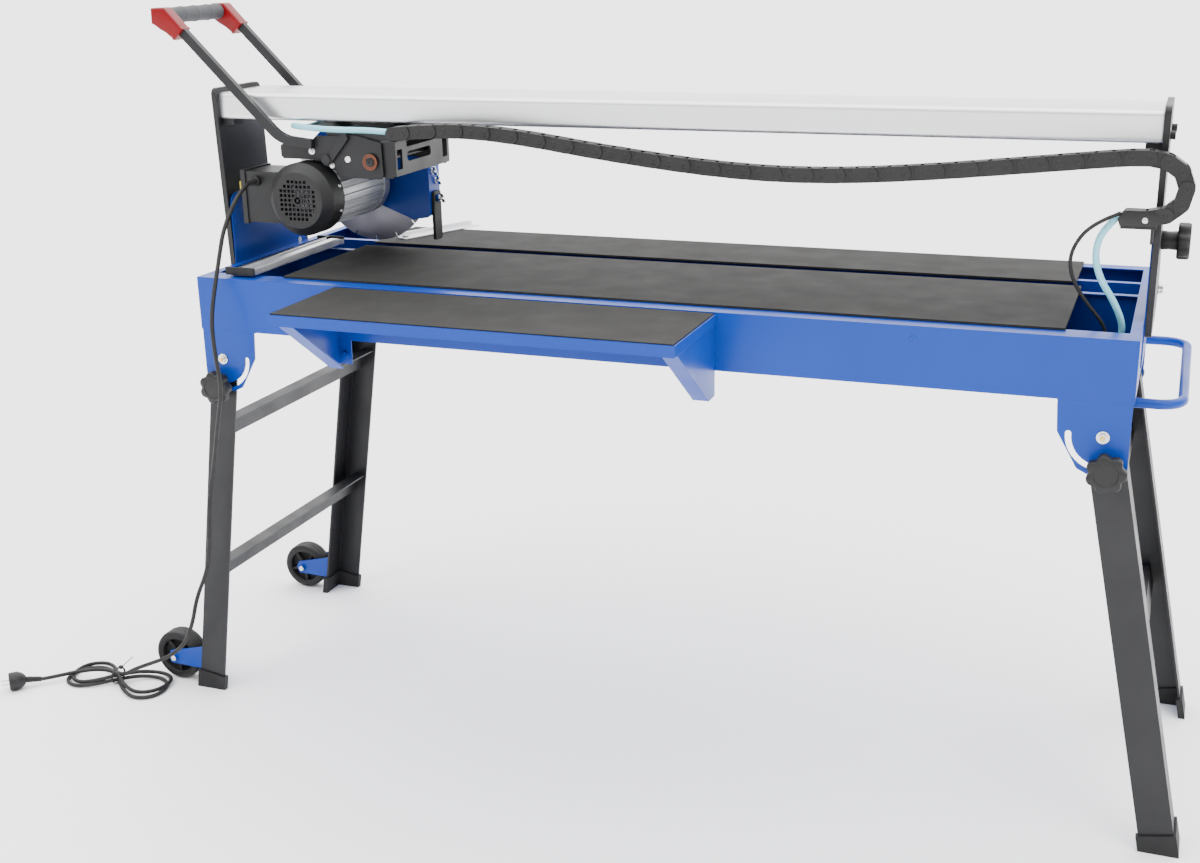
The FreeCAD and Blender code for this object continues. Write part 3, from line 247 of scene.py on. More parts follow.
NODE_MATERIAL = {
    "blue": ["tub", "leg_brackets", "transport_handle", "pivot_brackets", "wheel_forks",
             "side_table_tray", "side_table_brackets", "blade_guard"],
    "black": ["front_table_plate", "rear_table_plate", "left_leg_frame", "right_leg_frame",
              "left_end_plate", "right_end_plate", "carriage_frame", "head_bracket",
              "handle_arms", "plunge_lock_lever", "chain_bracket", "beam_end_screws_and_stops"],
    "mat": ["front_table_mat", "rear_table_mat", "side_table_mat"],
    "boot": ["left_feet", "right_feet", "splash_flap"],
    "alu": ["beam", "fence_bar", "angle_guide"],
    "cast": ["motor_housing"],
    "steel": ["blade", "rotor_shaft", "left_roller_set", "right_roller_set"],
    "zinc": ["stand_pivot_pins"],
    "plastic": ["fan_cover", "cable_gland", "drag_chain", "pump", "left_front_leg_knob",
                "left_rear_leg_knob", "right_front_leg_knob", "right_rear_leg_knob",
                "left_tilt_knob", "right_tilt_knob"],
    "box": ["switch_box"],
    "red": ["handle_corners", "stop_button"],
    "green": ["start_button"],
    "grip": ["handle_grip"],
    "tyre": ["front_wheel", "rear_wheel"],
    "cord": ["power_cord_upper", "power_cord_middle", "power_cord_lower", "cord_hank",
             "power_plug", "pump_cable"],
    "hose": ["pump_hose", "head_hose"],
}


def paint(obj, key):
    obj.data.materials.clear()
    obj.data.materials.append(MATS[key])
    return obj


for key, names in NODE_MATERIAL.items():
    for name in names:
        for slot in nodes[name].material_slots:
            slot.link = "OBJECT"
            slot.material = MATS[key]


# ---------------------------------------------------------------- mesh helpers
def link(name, mesh):
    obj = bpy.data.objects.new(name, mesh)
    bpy.context.collection.objects.link(obj)
    return obj


def shade(obj, angle):
    for face in obj.data.polygons:
        face.use_smooth = True
    obj.data.set_sharp_from_angle(angle=math.radians(angle))
    return obj


def from_bmesh(name, bm, key, angle=40.0):
    bmesh.ops.recalc_face_normals(bm, faces=bm.faces)
    mesh = bpy.data.meshes.new(name)
    bm.to_mesh(mesh)
    bm.free()
    return shade(paint(link(name, mesh), key), angle)


def basis(axis):
    """Rotation that turns local +Z into axis."""
    return Vector((0, 0, 1)).rotation_difference(Vector(axis)).to_matrix().to_4x4()


def circle(bm, radius, height, place, steps):
    """Ring of vertices about local Z, moved by place."""
    ring = []
    for k in range(steps):
        a = 2.0 * math.pi * k / steps
        point = Vector((radius * math.cos(a), radius * math.sin(a), height))
        ring.append(bm.verts.new(place @ point))
    return ring


def join_rings(bm, lower, upper):
    """Band of faces between two rings of as many vertices."""
    for k in range(len(lower)):
        j = (k + 1) % len(lower)
        bm.faces.new((lower[k], lower[j], upper[j], upper[k]))


def skin(bm, rings):
    """Surface over a row of rings, its two ends closed."""
    for lower, upper in zip(rings[:-1], rings[1:]):
        join_rings(bm, lower, upper)
    bm.faces.new(rings[0][::-1])
    bm.faces.new(rings[-1])


def skin_loop(bm, rings):
    """Surface over rings whose last one joins the first."""
    for a, b in zip(rings, rings[1:] + rings[:1]):
        join_rings(bm, a, b)


def lathe(bm, profile, place, steps):
    """Turns (radius, height) pairs about local Z and moves the result by place."""
    skin(bm, [circle(bm, radius, height, place, steps) for radius, height in profile])


def outline_solid(bm, points, depth, place, bevel=0.0, segments=2):
    """Prism of a 2-D outline (local X, Y), depth along local Z, with rounded edges."""
    part = bmesh.new()
    low = [part.verts.new((x, y, 0.0)) for x, y in points]
    high = [part.verts.new((x, y, depth)) for x, y in points]
    part.faces.new(low[::-1])
    part.faces.new(high)
    join_rings(part, low, high)
    if bevel > 0.0:
        bmesh.ops.bevel(part, geom=list(part.edges), offset=bevel, segments=segments,
                        profile=0.7, affect="EDGES", clamp_overlap=True)
    part.transform(place)
    scratch = bpy.data.meshes.new("scratch")
    part.to_mesh(scratch)
    part.free()
    bm.from_mesh(scratch)
    bpy.data.meshes.remove(scratch)


# Turns local X and Y to X and Z, so that a prism's depth runs towards -Y.
UPRIGHT = Matrix(((1, 0, 0, 0), (0, 0, -1, 0), (0, 1, 0, 0), (0, 0, 0, 1)))


def upright_prism(bm, outline, rear_y, depth, bevel, segments=2):
    """Prism of an X-Z outline in the drawing's millimetres, reaching forward from rear_y."""
    points = [(x / 1000.0, z / 1000.0) for x, z in outline]
    outline_solid(bm, points, depth, Matrix.Translation(at(0, rear_y, 0)) @ UPRIGHT, bevel,
                  segments)


def block(bm, low, high, bevel):
    """Box between two corners (metres) with rounded edges."""
    x, y = high[0] - low[0], high[1] - low[1]
    outline_solid(bm, [(0, 0), (x, 0), (x, y), (0, y)], high[2] - low[2],
                  Matrix.Translation(Vector(low)), bevel)


# ---------------------------------------------------------------- cords and hoses
def route_line(name, points):
    """Smooth open line with the route's points as its control points."""
    data = bpy.data.curves.new(name, "CURVE")
    data.dimensions = "3D"
    data.resolution_u = 16
    spline = data.splines.new("NURBS")
    spline.points.add(len(points) - 1)
    for target, point in zip(spline.points, points):
        target.co = (*point, 1.0)
    spline.order_u = 3
    spline.use_endpoint_u = True
    return data


def line_points(name, points):
    line = link(name, route_line(name, points))
    mesh = bpy.data.meshes.new_from_object(line)
    path = [v.co.copy() for v in mesh.vertices]
    bpy.data.objects.remove(line)
    return path


def sweep(name, path, radius, key, steps=14):
    """Round tube along the points of a smooth line, its ends closed."""
    bm = bmesh.new()
    side = Vector((0, 0, 1)).cross(path[1] - path[0])
    if side.length < 1e-6:
        side = Vector((1, 0, 0))
    rings = []
    for i, point in enumerate(path):
        ahead = path[min(i + 1, len(path) - 1)] - path[max(i - 1, 0)]
        ahead.normalize()
        side = (side - ahead * side.dot(ahead)).normalized()
        up = ahead.cross(side)
        ring = []
        for k in range(steps):
            a = 2.0 * math.pi * k / steps
            ring.append(bm.verts.new(point + radius * (math.cos(a) * side + math.sin(a) * up)))
        rings.append(ring)
    skin(bm, rings)
    return from_bmesh(name, bm, key, 60.0)


CORD_D, HOSE_D, CABLE_D = 0.008, 0.011, 0.006

UPPER = [at(-779, -176, 1030), at(-780, -207, 1021), at(-784, -232, 991)]
MIDDLE = [at(-784, -232, 991), at(-788, -257, 961), at(-785, -286, 908), at(-782, -316, 848)]
LOWER = [at(-782, -316, 848), at(-780, -336, 808), at(-774, -344, 742), at(-767, -342, 672),
         at(-790, -334, 598), at(-812, -325, 518), at(-842, -315, 430), at(-850, -314, 350),
         at(-858, -318, 285), at(-886, -326, 224), at(-896, -335, 168), at(-916, -342, 122),
         at(-957, -345, 90), at(-1000, -344, 70)]
PUMP_HOSE = [at(793, -196, 1044), at(768, -197, 1019), at(759, -197, 982), at(769, -194, 942),
             at(793, -186, 905), at(808, -173, 868), at(808, -166, 846), at(808, -165, 830.4)]
PUMP_CABLE = [at(794, -208, 1047), at(752, -208, 1030), at(723, -204, 985), at(726, -196, 944),
              at(749, -190, 905), at(777, -184, 872), at(786, -181, 850), at(786, -181, 830.4)]
HEAD_HOSE = [at(-449.6, -199, 1135), at(-500, -195, 1138), at(-560, -188, 1136),
             at(-622, -186, 1137), at(-672, -174, 1140), at(-700, -132, 1134),
             at(-706, -84, 1125), at(-704, -38, 1126), at(-697, 8, 1135), at(-684, 50, 1129)]

# The hank lies on the floor, tied at its waist.  Each loop is (side of the tie, reach, width,
# lean, height of its tip, height at the waist) in millimetres; hand-wound loops all differ.
# Their number is a guess.  A loop's shape is (part of its reach, part of its half width).
TIE = (-1104.0, -325.0)
LOOPS = [(-1, 102, 83, -6, 4.3, 8.0), (1, 106, 86, -10, 4.3, 12.0),
         (-1, 100, 86, 10, 8.0, 18.0), (1, 103, 86, 8, 9.0, 22.0)]
LOOP_SHAPE = ((0.34, 0.76), (0.74, 1.14), (1.09, 0.58), (1.09, -0.58), (0.74, -1.14),
              (0.34, -0.76))
WAIST, WAIST_FADE = 0.34, 0.4     # where a loop leaves the waist's height, and over how much


def hank_points():
    """The cord's own run through its loops: left, right, left, right, then off to the plug."""
    points = [at(-1044, -345, 50), at(-1078, -338, 28)]
    for side, reach, width, lean, tip, waist in LOOPS:
        for along, across in LOOP_SHAPE:
            near = 1.0 - min(1.0, max(0.0, (along - WAIST) / WAIST_FADE))
            points.append(at(TIE[0] + side * reach * along,
                             TIE[1] + across * width / 2.0 + lean * along,
                             tip + (waist - tip) * 0.5 * near))
        points.append(at(TIE[0], TIE[1], waist))
    points += [at(-1148, -320, 22), at(-1196, -335, 16), at(-1230, -362, 12),
               at(-1252, -384, 12)]
    return points


def free_cord(name, points, diameter, key, bodies, start, end, slot, nodes_replaced, **facts):
    """Tube on its smooth line, with the parts it replaces hidden."""
    path = line_points(name + "_line", points)
    tube = sweep(name, path, diameter / 2.0, key)
    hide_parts(*nodes_replaced)
    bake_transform(tube)
    return tube


def make_plug():
    """Moulded mains plug lying on the floor: ribbed relief, round body, two pins."""
    bm = bmesh.new()
    nose, back = at(-1278, -408, 18.0), at(-1252, -384, 12.5)
    way = (nose - back).normalized()
    place = Matrix.Translation(back) @ basis(way)
    length = (nose - back).length
    profile = [(0.0042, 0.0)]
    ribs = 6
    step = (length - 0.002) / ribs
    for k in range(ribs):
        z0 = 0.001 + k * (length - 0.002) / ribs
        grow = 0.0046 + 0.0016 * k / ribs
        profile += [(grow, z0), (grow + 0.0012, z0 + step * 0.25),
                    (grow + 0.0012, z0 + step * 0.6), (grow, z0 + step * 0.8)]
    profile.append((0.0068, length))
    lathe(bm, profile, place, 28)
    axis = Vector((-22.0, -21.0, 0.0)).normalized()
    place = Matrix.Translation(at(-1277, -407, 18.6)) @ basis(axis)
    lathe(bm, [(0.0075, -0.004), (0.0120, 0.0), (0.0160, 0.005), (0.0180, 0.012), (0.0182, 0.0265),
               (0.0176, 0.0290), (0.0150, 0.0294), (0.0146, 0.0276), (0.0060, 0.0274)], place, 44)
    for turn in (0.0, math.pi):
        rib = [(-0.0035, 0.0150), (0.0035, 0.0150), (0.0028, 0.0192), (-0.0028, 0.0192)]
        outline_solid(bm, rib, 0.017, place @ Matrix.Rotation(turn, 4, "Z")
                      @ Matrix.Translation((0, 0, 0.010)), 0.0009)
    plug = from_bmesh("power_plug_body", bm, "plastic", 35.0)
    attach(plug, "stand")
    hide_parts("power_plug")
    pins = bmesh.new()
    across = Vector((0, 0, 1)).cross(axis)
    for side in (-1, 1):
        start = at(-1277, -407, 18.6) + axis * 0.027 + across * side * 0.0095
        lathe(pins, [(0.0024, 0.0), (0.0024, 0.014), (0.0019, 0.0165), (0.0008, 0.0175)],
              Matrix.Translation(start) @ basis(axis), 16)
    steel = from_bmesh("power_plug_pins", pins, "zinc", 35.0)
    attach(steel, "stand")
    return plug, steel


def make_gland():
    """Screwed gland with a thick ribbed relief that tapers onto the cord."""
    bm = bmesh.new()
    place = Matrix.Translation(at(-779, -150, 1030)) @ basis((0, -1, 0))
    profile = [(0.0100, 0.0), (0.0100, 0.006), (0.0085, 0.0075)]
    for k in range(6):
        z0 = 0.008 + 0.003 * k
        profile += [(0.0078 - 0.0004 * k, z0), (0.0078 - 0.0004 * k, z0 + 0.0017),
                    (0.0066 - 0.0003 * k, z0 + 0.002), (0.0066 - 0.0003 * k, z0 + 0.0028)]
    profile.append((0.0046, 0.0262))
    lathe(bm, profile, place, 30)
    gland = from_bmesh("gland_relief", bm, "plastic", 35.0)
    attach(gland, "saw_head")
    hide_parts("cable_gland")
    return gland


def make_cords():
    gland = make_gland()
    plug = make_plug()
    free_cord("power_cord_top", UPPER, CORD_D, "cord", ("saw_head", "carriage"), UPPER[0],
              UPPER[-1], "cord_rubber", ["power_cord_upper"], far_end="object",
              stiffness="medium", lay="hanging", with_pieces=[gland])
    free_cord("power_cord_side", MIDDLE, CORD_D, "cord", ("carriage", "bridge"), MIDDLE[0],
              MIDDLE[-1], "cord_rubber", ["power_cord_middle"], far_end="object",
              stiffness="medium", lay="hanging")
    free_cord("power_cord_down", LOWER + hank_points(), CORD_D, "cord", ("bridge", "stand"),
              LOWER[0], at(-782, -316, 690), "cord_rubber", ["power_cord_lower", "cord_hank"],
              far_end="plug", stiffness="medium", lay="loose", with_pieces=list(plug))
    free_cord("pump_water_hose", PUMP_HOSE, HOSE_D, "hose", ("bridge", "stand"), PUMP_HOSE[0],
              at(808, -165, 830), "hose_blue", ["pump_hose"], far_end="object",
              stiffness="medium", lay="loose")
    free_cord("pump_power_cable", PUMP_CABLE, CABLE_D, "cord", ("bridge", "stand"),
              PUMP_CABLE[0], at(786, -181, 830), "cord_rubber", ["pump_cable"],
              far_end="object", stiffness="medium", lay="loose")
    free_cord("head_water_hose", HEAD_HOSE, HOSE_D, "hose", ("carriage", "saw_head"),
              HEAD_HOSE[0], HEAD_HOSE[2], "hose_blue", ["head_hose"], far_end="object",
              stiffness="medium", lay="loose")


make_cords()


def make_tie():
    """Cable tie round the waist of the hank, its tail sticking up."""
    bm = bmesh.new()
    centre = at(TIE[0], TIE[1], 17)
    steps = 28
    rings = []
    for k in range(steps):
        a = 2.0 * math.pi * k / steps
        ring = []
        for r, x in ((1.0, -0.002), (1.0, 0.002), (1.09, 0.002), (1.09, -0.002)):
            ring.append(bm.verts.new(centre + Vector((x, 0.0200 * r * math.cos(a),
                                                      0.0150 * r * math.sin(a)))))
        rings.append(ring)
    skin_loop(bm, rings)
    block(bm, centre + Vector((-0.004, 0.008, 0.010)), centre + Vector((0.004, 0.015, 0.016)),
          0.0008)
    tail = Matrix.Translation(centre + Vector((0, 0.012, 0.012))) @ basis((0.55, 0.35, 0.55))
    outline_solid(bm, [(-0.0004, -0.0018), (0.0004, -0.0018), (0.0004, 0.0018), (-0.0004, 0.0018)],
                  0.034, tail)
    tie = from_bmesh("cord_tie", bm, "plastic")
    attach(tie, "stand")


make_tie()


# ---------------------------------------------------------------- drag chain
CHAIN_LINE = [(-450, 1134), (-390, 1140), (-300, 1143), (-190, 1133), (-60, 1114), (110, 1094.5),
              (240, 1086.5), (360, 1088), (500, 1098.5), (650, 1114.5), (780, 1129),
              (835, 1133), (872, 1121), (888, 1088), (876, 1053), (842, 1039), (800, 1040)]
CHAIN_Y = (-214.0, -188.0)
LINK_PITCH = 0.0262
LINK_HEIGHT = 0.0240


def along_path(path, pitch):
    """Points one pitch apart down a path."""
    points, left = [path[0].copy()], pitch
    for a, b in zip(path[:-1], path[1:]):
        span = (b - a).length
        start = 0.0
        while span - start >= left:
            start += left
            points.append(a.lerp(b, start / span))
            left = pitch
        left -= span - start
    return points


def rounded_link(length, height, steps=8):
    """Side plate outline: round boss at each end, waisted between them."""
    half = height / 2.0
    points = []
    for k in range(steps + 1):
        a = math.pi / 2 - math.pi * k / steps
        points.append((length + half * 0.92 * math.cos(a), half * math.sin(a)))
    for k in range(steps + 1):
        a = -math.pi / 2 - math.pi * k / steps
        points.append((half * 0.92 * math.cos(a), half * math.sin(a)))
    return points


def make_chain():
    middle_y = sum(CHAIN_Y) / 2.0
    path = line_points("chain_line", [at(x, middle_y, z) for x, z in CHAIN_LINE])
    pivots = along_path(path, LINK_PITCH)
    bm = bmesh.new()
    depth = (CHAIN_Y[1] - CHAIN_Y[0]) / 1000.0
    plate = 0.0022
    for index, (a, b) in enumerate(zip(pivots[:-1], pivots[1:])):
        ahead = (b - a).normalized()
        up = ahead.cross(Vector((0, 1, 0)))
        frame_turn = Matrix((ahead, up, Vector((0, -1, 0)))).transposed().to_4x4()
        inset = 0.0 if index % 2 == 0 else plate
        span = (b - a).length
        outline = rounded_link(span, LINK_HEIGHT)
        for side in (-1, 1):
            y = side * (depth / 2.0 - inset)
            y0 = y if side > 0 else y + plate
            place = Matrix.Translation(a + Vector((0, y0, 0))) @ frame_turn
            outline_solid(bm, outline, plate, place, 0.0004, 1)
            outer = a + Vector((0, side * depth / 2.0, 0))
            boss = Matrix.Translation(outer) @ basis((0, side, 0))
            lathe(bm, [(0.0052, -0.0030), (0.0052, 0.0003), (0.0044, 0.0008), (0.0022, 0.0008),
                       (0.0018, 0.0002)], boss, 18)
        bar_half = LINK_HEIGHT / 2.0
        for offset in (bar_half - 0.0018, -bar_half):
            corner = [(0.004, 0.0), (span - 0.002, 0.0), (span - 0.002, 0.0018),
                      (0.004, 0.0018)]
            place = Matrix.Translation(a + Vector((0, depth / 2.0 - 0.001, 0)) + up * offset)
            outline_solid(bm, corner, depth - 0.002, place @ frame_turn, 0.0003, 1)
    chain = from_bmesh("chain_links", bm, "chain", 30.0)
    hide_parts("drag_chain")
    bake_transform(chain)


make_chain()


# ---------------------------------------------------------------- knobs
def star_knob(name, centre, axis, hub_r, hub_len, disc_r, disc_len, body, node, lobes=7):
    """Clamping knob: neck, fluted disc with soft lobes and a shallow cap."""
    bm = bmesh.new()
    place = Matrix.Translation(Vector(centre)) @ basis(axis)
    lathe(bm, [(hub_r * 0.96, 0.0), (hub_r, 0.001), (hub_r * 0.94, hub_len * 0.5),
               (hub_r, hub_len - 0.001), (hub_r, hub_len + 0.002)], place, 36)
    steps = lobes * 16
    levels = [(0.90, 0.0), (0.97, 0.0012), (1.0, 0.0035), (1.0, disc_len - 0.004),
              (0.97, disc_len - 0.0012), (0.90, disc_len), (0.62, disc_len + 0.0002),
              (0.58, disc_len - 0.0012), (0.10, disc_len - 0.0008)]
    rings = []
    for scale, height in levels:
        ring = []
        for k in range(steps):
            a = 2.0 * math.pi * k / steps
            wave = 0.5 + 0.5 * math.cos(lobes * a)
            depth = 0.16 * (1.0 - wave) ** 1.6 if scale > 0.7 else 0.0
            r = disc_r * (scale - depth)
            ring.append(bm.verts.new(place @ Vector((r * math.cos(a), r * math.sin(a),
                                                     hub_len + height))))
        rings.append(ring)
    skin(bm, rings)
    knob = from_bmesh(name, bm, "plastic", 45.0)
    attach(knob, body)
    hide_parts(node)


def knob_centre(side, splay):
    """Where a leg's clamping knob sits: down the splayed leg from its pivot."""
    a = math.radians(splay)
    return (side * (LEG_PIVOT_X + KNOB_FROM_PIVOT * math.sin(a)),
            LEG_PIVOT_Z - KNOB_FROM_PIVOT * math.cos(a))


for end, side, splay in (("left", -1, LEFT_SPLAY), ("right", 1, RIGHT_SPLAY)):
    kx, kz = knob_centre(side, splay)
    for row, out in (("front", -1), ("rear", 1)):
        node = "%s_%s_leg_knob" % (end, row)
        star_knob(node + "_moulding", at(kx, out * LEG_KNOB_Y, kz), (0, out, 0), 0.013, 0.0116,
                  0.0315, 0.020, node, node)
    node = end + "_tilt_knob"
    star_knob(node + "_moulding", at(side * TILT_KNOB_X, TILT_KNOB_Y, TILT_KNOB_Z), (side, 0, 0),
              0.0155, 0.024, 0.030, 0.020, node, node)


# ---------------------------------------------------------------- transport wheels
def make_wheel(name, node, y_mid):
    """Solid rubber wheel: crowned tread with two grooves, recessed five-spoke centre."""
    bm = bmesh.new()
    place = Matrix.Translation(at(WHEEL_X, y_mid, WHEEL_Z)) @ basis((0, 1, 0))
    r, w = 0.052, 0.019
    profile = [(0.036, -w + 0.002), (0.040, -w), (0.046, -w), (0.0505, -w + 0.003),
               (r, -w + 0.008)]
    for z in (-0.0045, 0.0045):
        profile += [(r, z - 0.0012), (r - 0.0012, z - 0.0006), (r - 0.0012, z + 0.0006),
                    (r, z + 0.0012)]
    profile += [(r, w - 0.008), (0.0505, w - 0.003), (0.046, w), (0.040, w), (0.036, w - 0.002)]
    profile += [(0.0345, 0.004), (0.0345, -0.004)]
    skin_loop(bm, [circle(bm, radius, height, place, 64) for radius, height in profile])
    lathe(bm, [(0.036, -0.005), (0.036, 0.005)], place, 48)
    lathe(bm, [(0.011, -w + 0.001), (0.012, -w + 0.002), (0.012, w - 0.002), (0.011, w - 0.001)],
          place, 30)
    for k in range(5):
        turn = Matrix.Rotation(2.0 * math.pi * k / 5.0 + 0.3, 4, "Z")
        spoke = [(0.010, -0.0042), (0.036, -0.0026), (0.036, 0.0026), (0.010, 0.0042)]
        outline_solid(bm, spoke, 0.028, place @ turn @ Matrix.Translation((0, 0, -0.014)), 0.0008)
    wheel = from_bmesh(name, bm, "tyre", 35.0)
    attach(wheel, node)
    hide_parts(node)


make_wheel("front_wheel_tyre", "front_wheel", -251)
make_wheel("rear_wheel_tyre", "rear_wheel", 251)


# ---------------------------------------------------------------- operator's handle
def make_grip():
    """Ribbed soft grip: four waisted sections with fine ribs between flat bands."""
    bm = bmesh.new()
    length = 0.166
    place = Matrix.Translation(at(-938, -160, 1336)) @ basis((0, 1, 0))
    profile = [(0.0140, 0.0)]
    count = 83
    for k in range(count + 1):
        z = 0.001 + (length - 0.002) * k / count
        section = (z / length * 4.0) % 1.0
        radius = 0.0150 - 0.0006 * math.sin(math.pi * section)
        if section > 0.08:
            radius -= 0.0005 * (k % 2)
        else:
            radius = 0.0155
        profile.append((radius, z))
    profile.append((0.0140, length))
    lathe(bm, profile, place, 48)
    grip = from_bmesh("grip_sleeve", bm, "grip", 25.0)
    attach(grip, "saw_head")
    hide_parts("handle_grip")


def make_corners():
    """Angular red end pieces with rounded edges and a parting step."""
    outline = [(-955, 1351), (-926, 1351.5), (-890, 1314), (-910, 1293), (-933, 1315.5),
               (-956, 1322)]
    for name, y0, y1 in (("handle_corner_front", -187.5, -160.5),
                         ("handle_corner_rear", 6.5, 33.5)):
        bm = bmesh.new()
        upright_prism(bm, outline, y1, (y1 - y0) / 1000.0, 0.0042, 3)
        collar = Matrix.Translation(at(-902, (y0 + y1) / 2, 1306)) @ basis((1, 0, -1))
        w = (y1 - y0) / 2000.0 + 0.0004
        outline_solid(bm, [(-0.0145, -w), (0.0145, -w), (0.0145, w), (-0.0145, w)], 0.005, collar,
                      0.0015)
        corner = from_bmesh(name, bm, "red", 50.0)
        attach(corner, "saw_head")
        if "front" in name:
            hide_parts("handle_corners")


make_grip()
make_corners()


# ---------------------------------------------------------------- small hardware
def hex_bolt(bm, point, axis, across, height):
    """Hexagon head with a chamfered top on a washer."""
    place = Matrix.Translation(Vector(point)) @ basis(axis)
    lathe(bm, [(across * 0.98, 0.0), (across * 0.98, 0.0010), (across * 0.90, 0.0013)], place,
          26)
    r = across / math.sqrt(3.0)
    corners = [math.pi * k / 3.0 for k in range(6)]
    hexagon = [(r * math.cos(a), r * math.sin(a)) for a in corners]
    outline_solid(bm, hexagon, height, place @ Matrix.Translation((0, 0, 0.0012)), 0.0006, 2)


def pan_screw(bm, point, axis, radius=0.004, height=0.0022):
    """Domed screw head with a cross recess suggested by a shallow dimple."""
    place = Matrix.Translation(Vector(point)) @ basis(axis)
    lathe(bm, [(radius, 0.0), (radius, height * 0.45), (radius * 0.82, height * 0.85),
               (radius * 0.45, height), (radius * 0.3, height * 0.98),
               (radius * 0.18, height * 0.5)], place, 22)


def finish_hardware(name, bm, key, body):
    piece = from_bmesh(name, bm, key, 30.0)
    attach(piece, body)


def head_hardware():
    """Bolts in the head bracket, and the copper ring and black cap of the plunge pin."""
    front = basis((0, -1, 0))
    bolts = bmesh.new()
    hex_bolt(bolts, at(-641, HEAD_FACE_Y, 1093), (0, -1, 0), 0.0065, 0.0035)
    hex_bolt(bolts, at(-600, HEAD_FACE_Y, 1068), (0, -1, 0), 0.0055, 0.003)
    lathe(bolts, [(0.0062, 0.0), (0.0062, 0.0012), (0.0054, 0.0018), (0.0036, 0.0018),
                  (0.0034, 0.0008)], Matrix.Translation(at(-566, HEAD_FACE_Y, 1080)) @ front, 32)
    finish_hardware("head_bolts", bolts, "zinc", "saw_head")
    pin_end = Matrix.Translation(at(PLUNGE_X, PLUNGE_FACE_Y, PLUNGE_Z)) @ front
    ring = bmesh.new()
    lathe(ring, [(0.0150, 0.0), (0.0150, 0.0010), (0.0138, 0.0013), (0.0122, 0.0010),
                 (0.0118, 0.0002)], pin_end, 40)
    finish_hardware("pivot_ring", ring, "copper", "carriage")
    cap = bmesh.new()
    lathe(cap, [(0.0085, 0.0), (0.0085, 0.0018), (0.0070, 0.0026), (0.0024, 0.0026),
                (0.0020, 0.0012)], pin_end, 32)
    finish_hardware("pivot_cap", cap, "black", "carriage")


def box_hardware():
    """Lid screws and the switch's yellow surround on the outer side of the switch box."""
    screws = bmesh.new()
    for y in (-146, -66):
        for z in (954, 1045):
            pan_screw(screws, at(BOX_FACE_X, y, z), (-1, 0, 0), 0.0042)
    finish_hardware("switch_box_screws", screws, "zinc", "saw_head")
    surround = bmesh.new()
    # (how far out, then its lower and upper y and z), in millimetres
    for out, y0, y1, z0, z1 in ((2.5, -124, -119, 969, 1029), (2.5, -93, -88, 969, 1029),
                                (2.5, -119, -93, 1025, 1029), (2.5, -119, -93, 969, 973),
                                (2.5, -119, -93, 995.2, 1002.8), (5.5, -149, -125, 1002, 1028)):
        block(surround, at(BOX_FACE_X - out, y0, z0), at(BOX_FACE_X, y1, z1), 0.0006)
    finish_hardware("switch_surround", surround, "yellow", "saw_head")


def guard_hardware():
    """Wing nuts on the guard's end and screws of the strap."""
    bm = bmesh.new()
    for y, z in ((78, 1026), (92, 1006), (84, 972)):
        x = -521.0 if z > 990 else -510.0
        place = Matrix.Translation(at(x, y, z)) @ basis((1, 0, 0))
        lathe(bm, [(0.006, 0.0), (0.006, 0.001), (0.0042, 0.0015), (0.0036, 0.007),
                   (0.0026, 0.008)], place, 24)
        for turn in (0.5, 0.5 + math.pi):
            wing = [(0.002, -0.0011), (0.0105, -0.0009), (0.0105, 0.0009), (0.002, 0.0011)]
            outline_solid(bm, wing, 0.007, place @ Matrix.Rotation(turn, 4, "Z")
                          @ Matrix.Translation((0, 0, 0.003)), 0.0006)
    finish_hardware("guard_wing_nuts", bm, "zinc", "saw_head")


def motor_hardware():
    """Screws of the motor's rear end and of the fan cover, and the cover's round boss."""
    bm = bmesh.new()
    for angle in (35, 145, 215, 325):
        a = math.radians(angle)
        pan_screw(bm, at(MOTOR_X + 54 * math.cos(a), 40.0, MOTOR_Z + 54 * math.sin(a)),
                  (0, 1, 0), 0.004)
    for angle in (20, 160, 200, 340):
        a = math.radians(angle)
        pan_screw(bm, at(MOTOR_X + 68 * math.cos(a), -160, MOTOR_Z + 68 * math.sin(a)),
                  (math.cos(a), 0, math.sin(a)), 0.0036)
    finish_hardware("motor_screws", bm, "zinc", "saw_head")
    boss = bmesh.new()
    place = Matrix.Translation(at(MOTOR_X, -205.2, MOTOR_Z)) @ basis((0, -1, 0))
    lathe(boss, [(0.0105, 0.0), (0.0105, 0.0012), (0.0098, 0.0016), (0.0066, 0.0016),
                 (0.0062, 0.0008), (0.0030, 0.0008), (0.0026, 0.0014)], place, 32)
    finish_hardware("fan_cover_boss", boss, "plastic", "saw_head")


def stand_hardware():
    """Tips of the leg pivot bolts, the rivet in the front rail and the axle bolt heads."""
    washers = bmesh.new()
    for side in (-1, 1):
        for out in (-1, 1):
            start = at(side * LEG_PIVOT_X, out * 291, LEG_PIVOT_Z)
            lathe(washers, [(0.0040, 0.0), (0.0040, 0.0015), (0.0032, 0.0025), (0.001, 0.0027)],
                  Matrix.Translation(start) @ basis((0, out, 0)), 20)
    finish_hardware("pivot_bolt_tips", washers, "brass", "stand")
    rivet = bmesh.new()
    pan_screw(rivet, at(500, -284, 846), (0, -1, 0), 0.0075, 0.00025)
    finish_hardware("rail_rivet", rivet, "blue", "stand")
    forks = bmesh.new()
    for y, out in ((-283, -1), (-219, 1), (283, 1), (219, -1)):
        pan_screw(forks, at(WHEEL_X, y, WHEEL_Z), (0, out, 0), 0.006, 0.003)
    finish_hardware("axle_bolt_heads", forks, "zinc", "left_legs")


def fence_hardware():
    """Dark end caps of the fence, and a thin black strip on its top that paints the shade of the
    clamp groove.
    """
    bm = bmesh.new()
    for y0, y1 in ((-268.6, -264.6), (62.6, 66.6)):
        block(bm, at(-786, y0, 872.4), at(-724, y1, 887), 0.0008)
    # Painted shade: a thin black strip stands for the dark inside of the clamp groove.
    block(bm, at(-760, -264, 885.9), at(-756, 62, 886.7), 0.0002)
    finish_hardware("fence_caps_and_groove_shade", bm, "plastic", "fence")


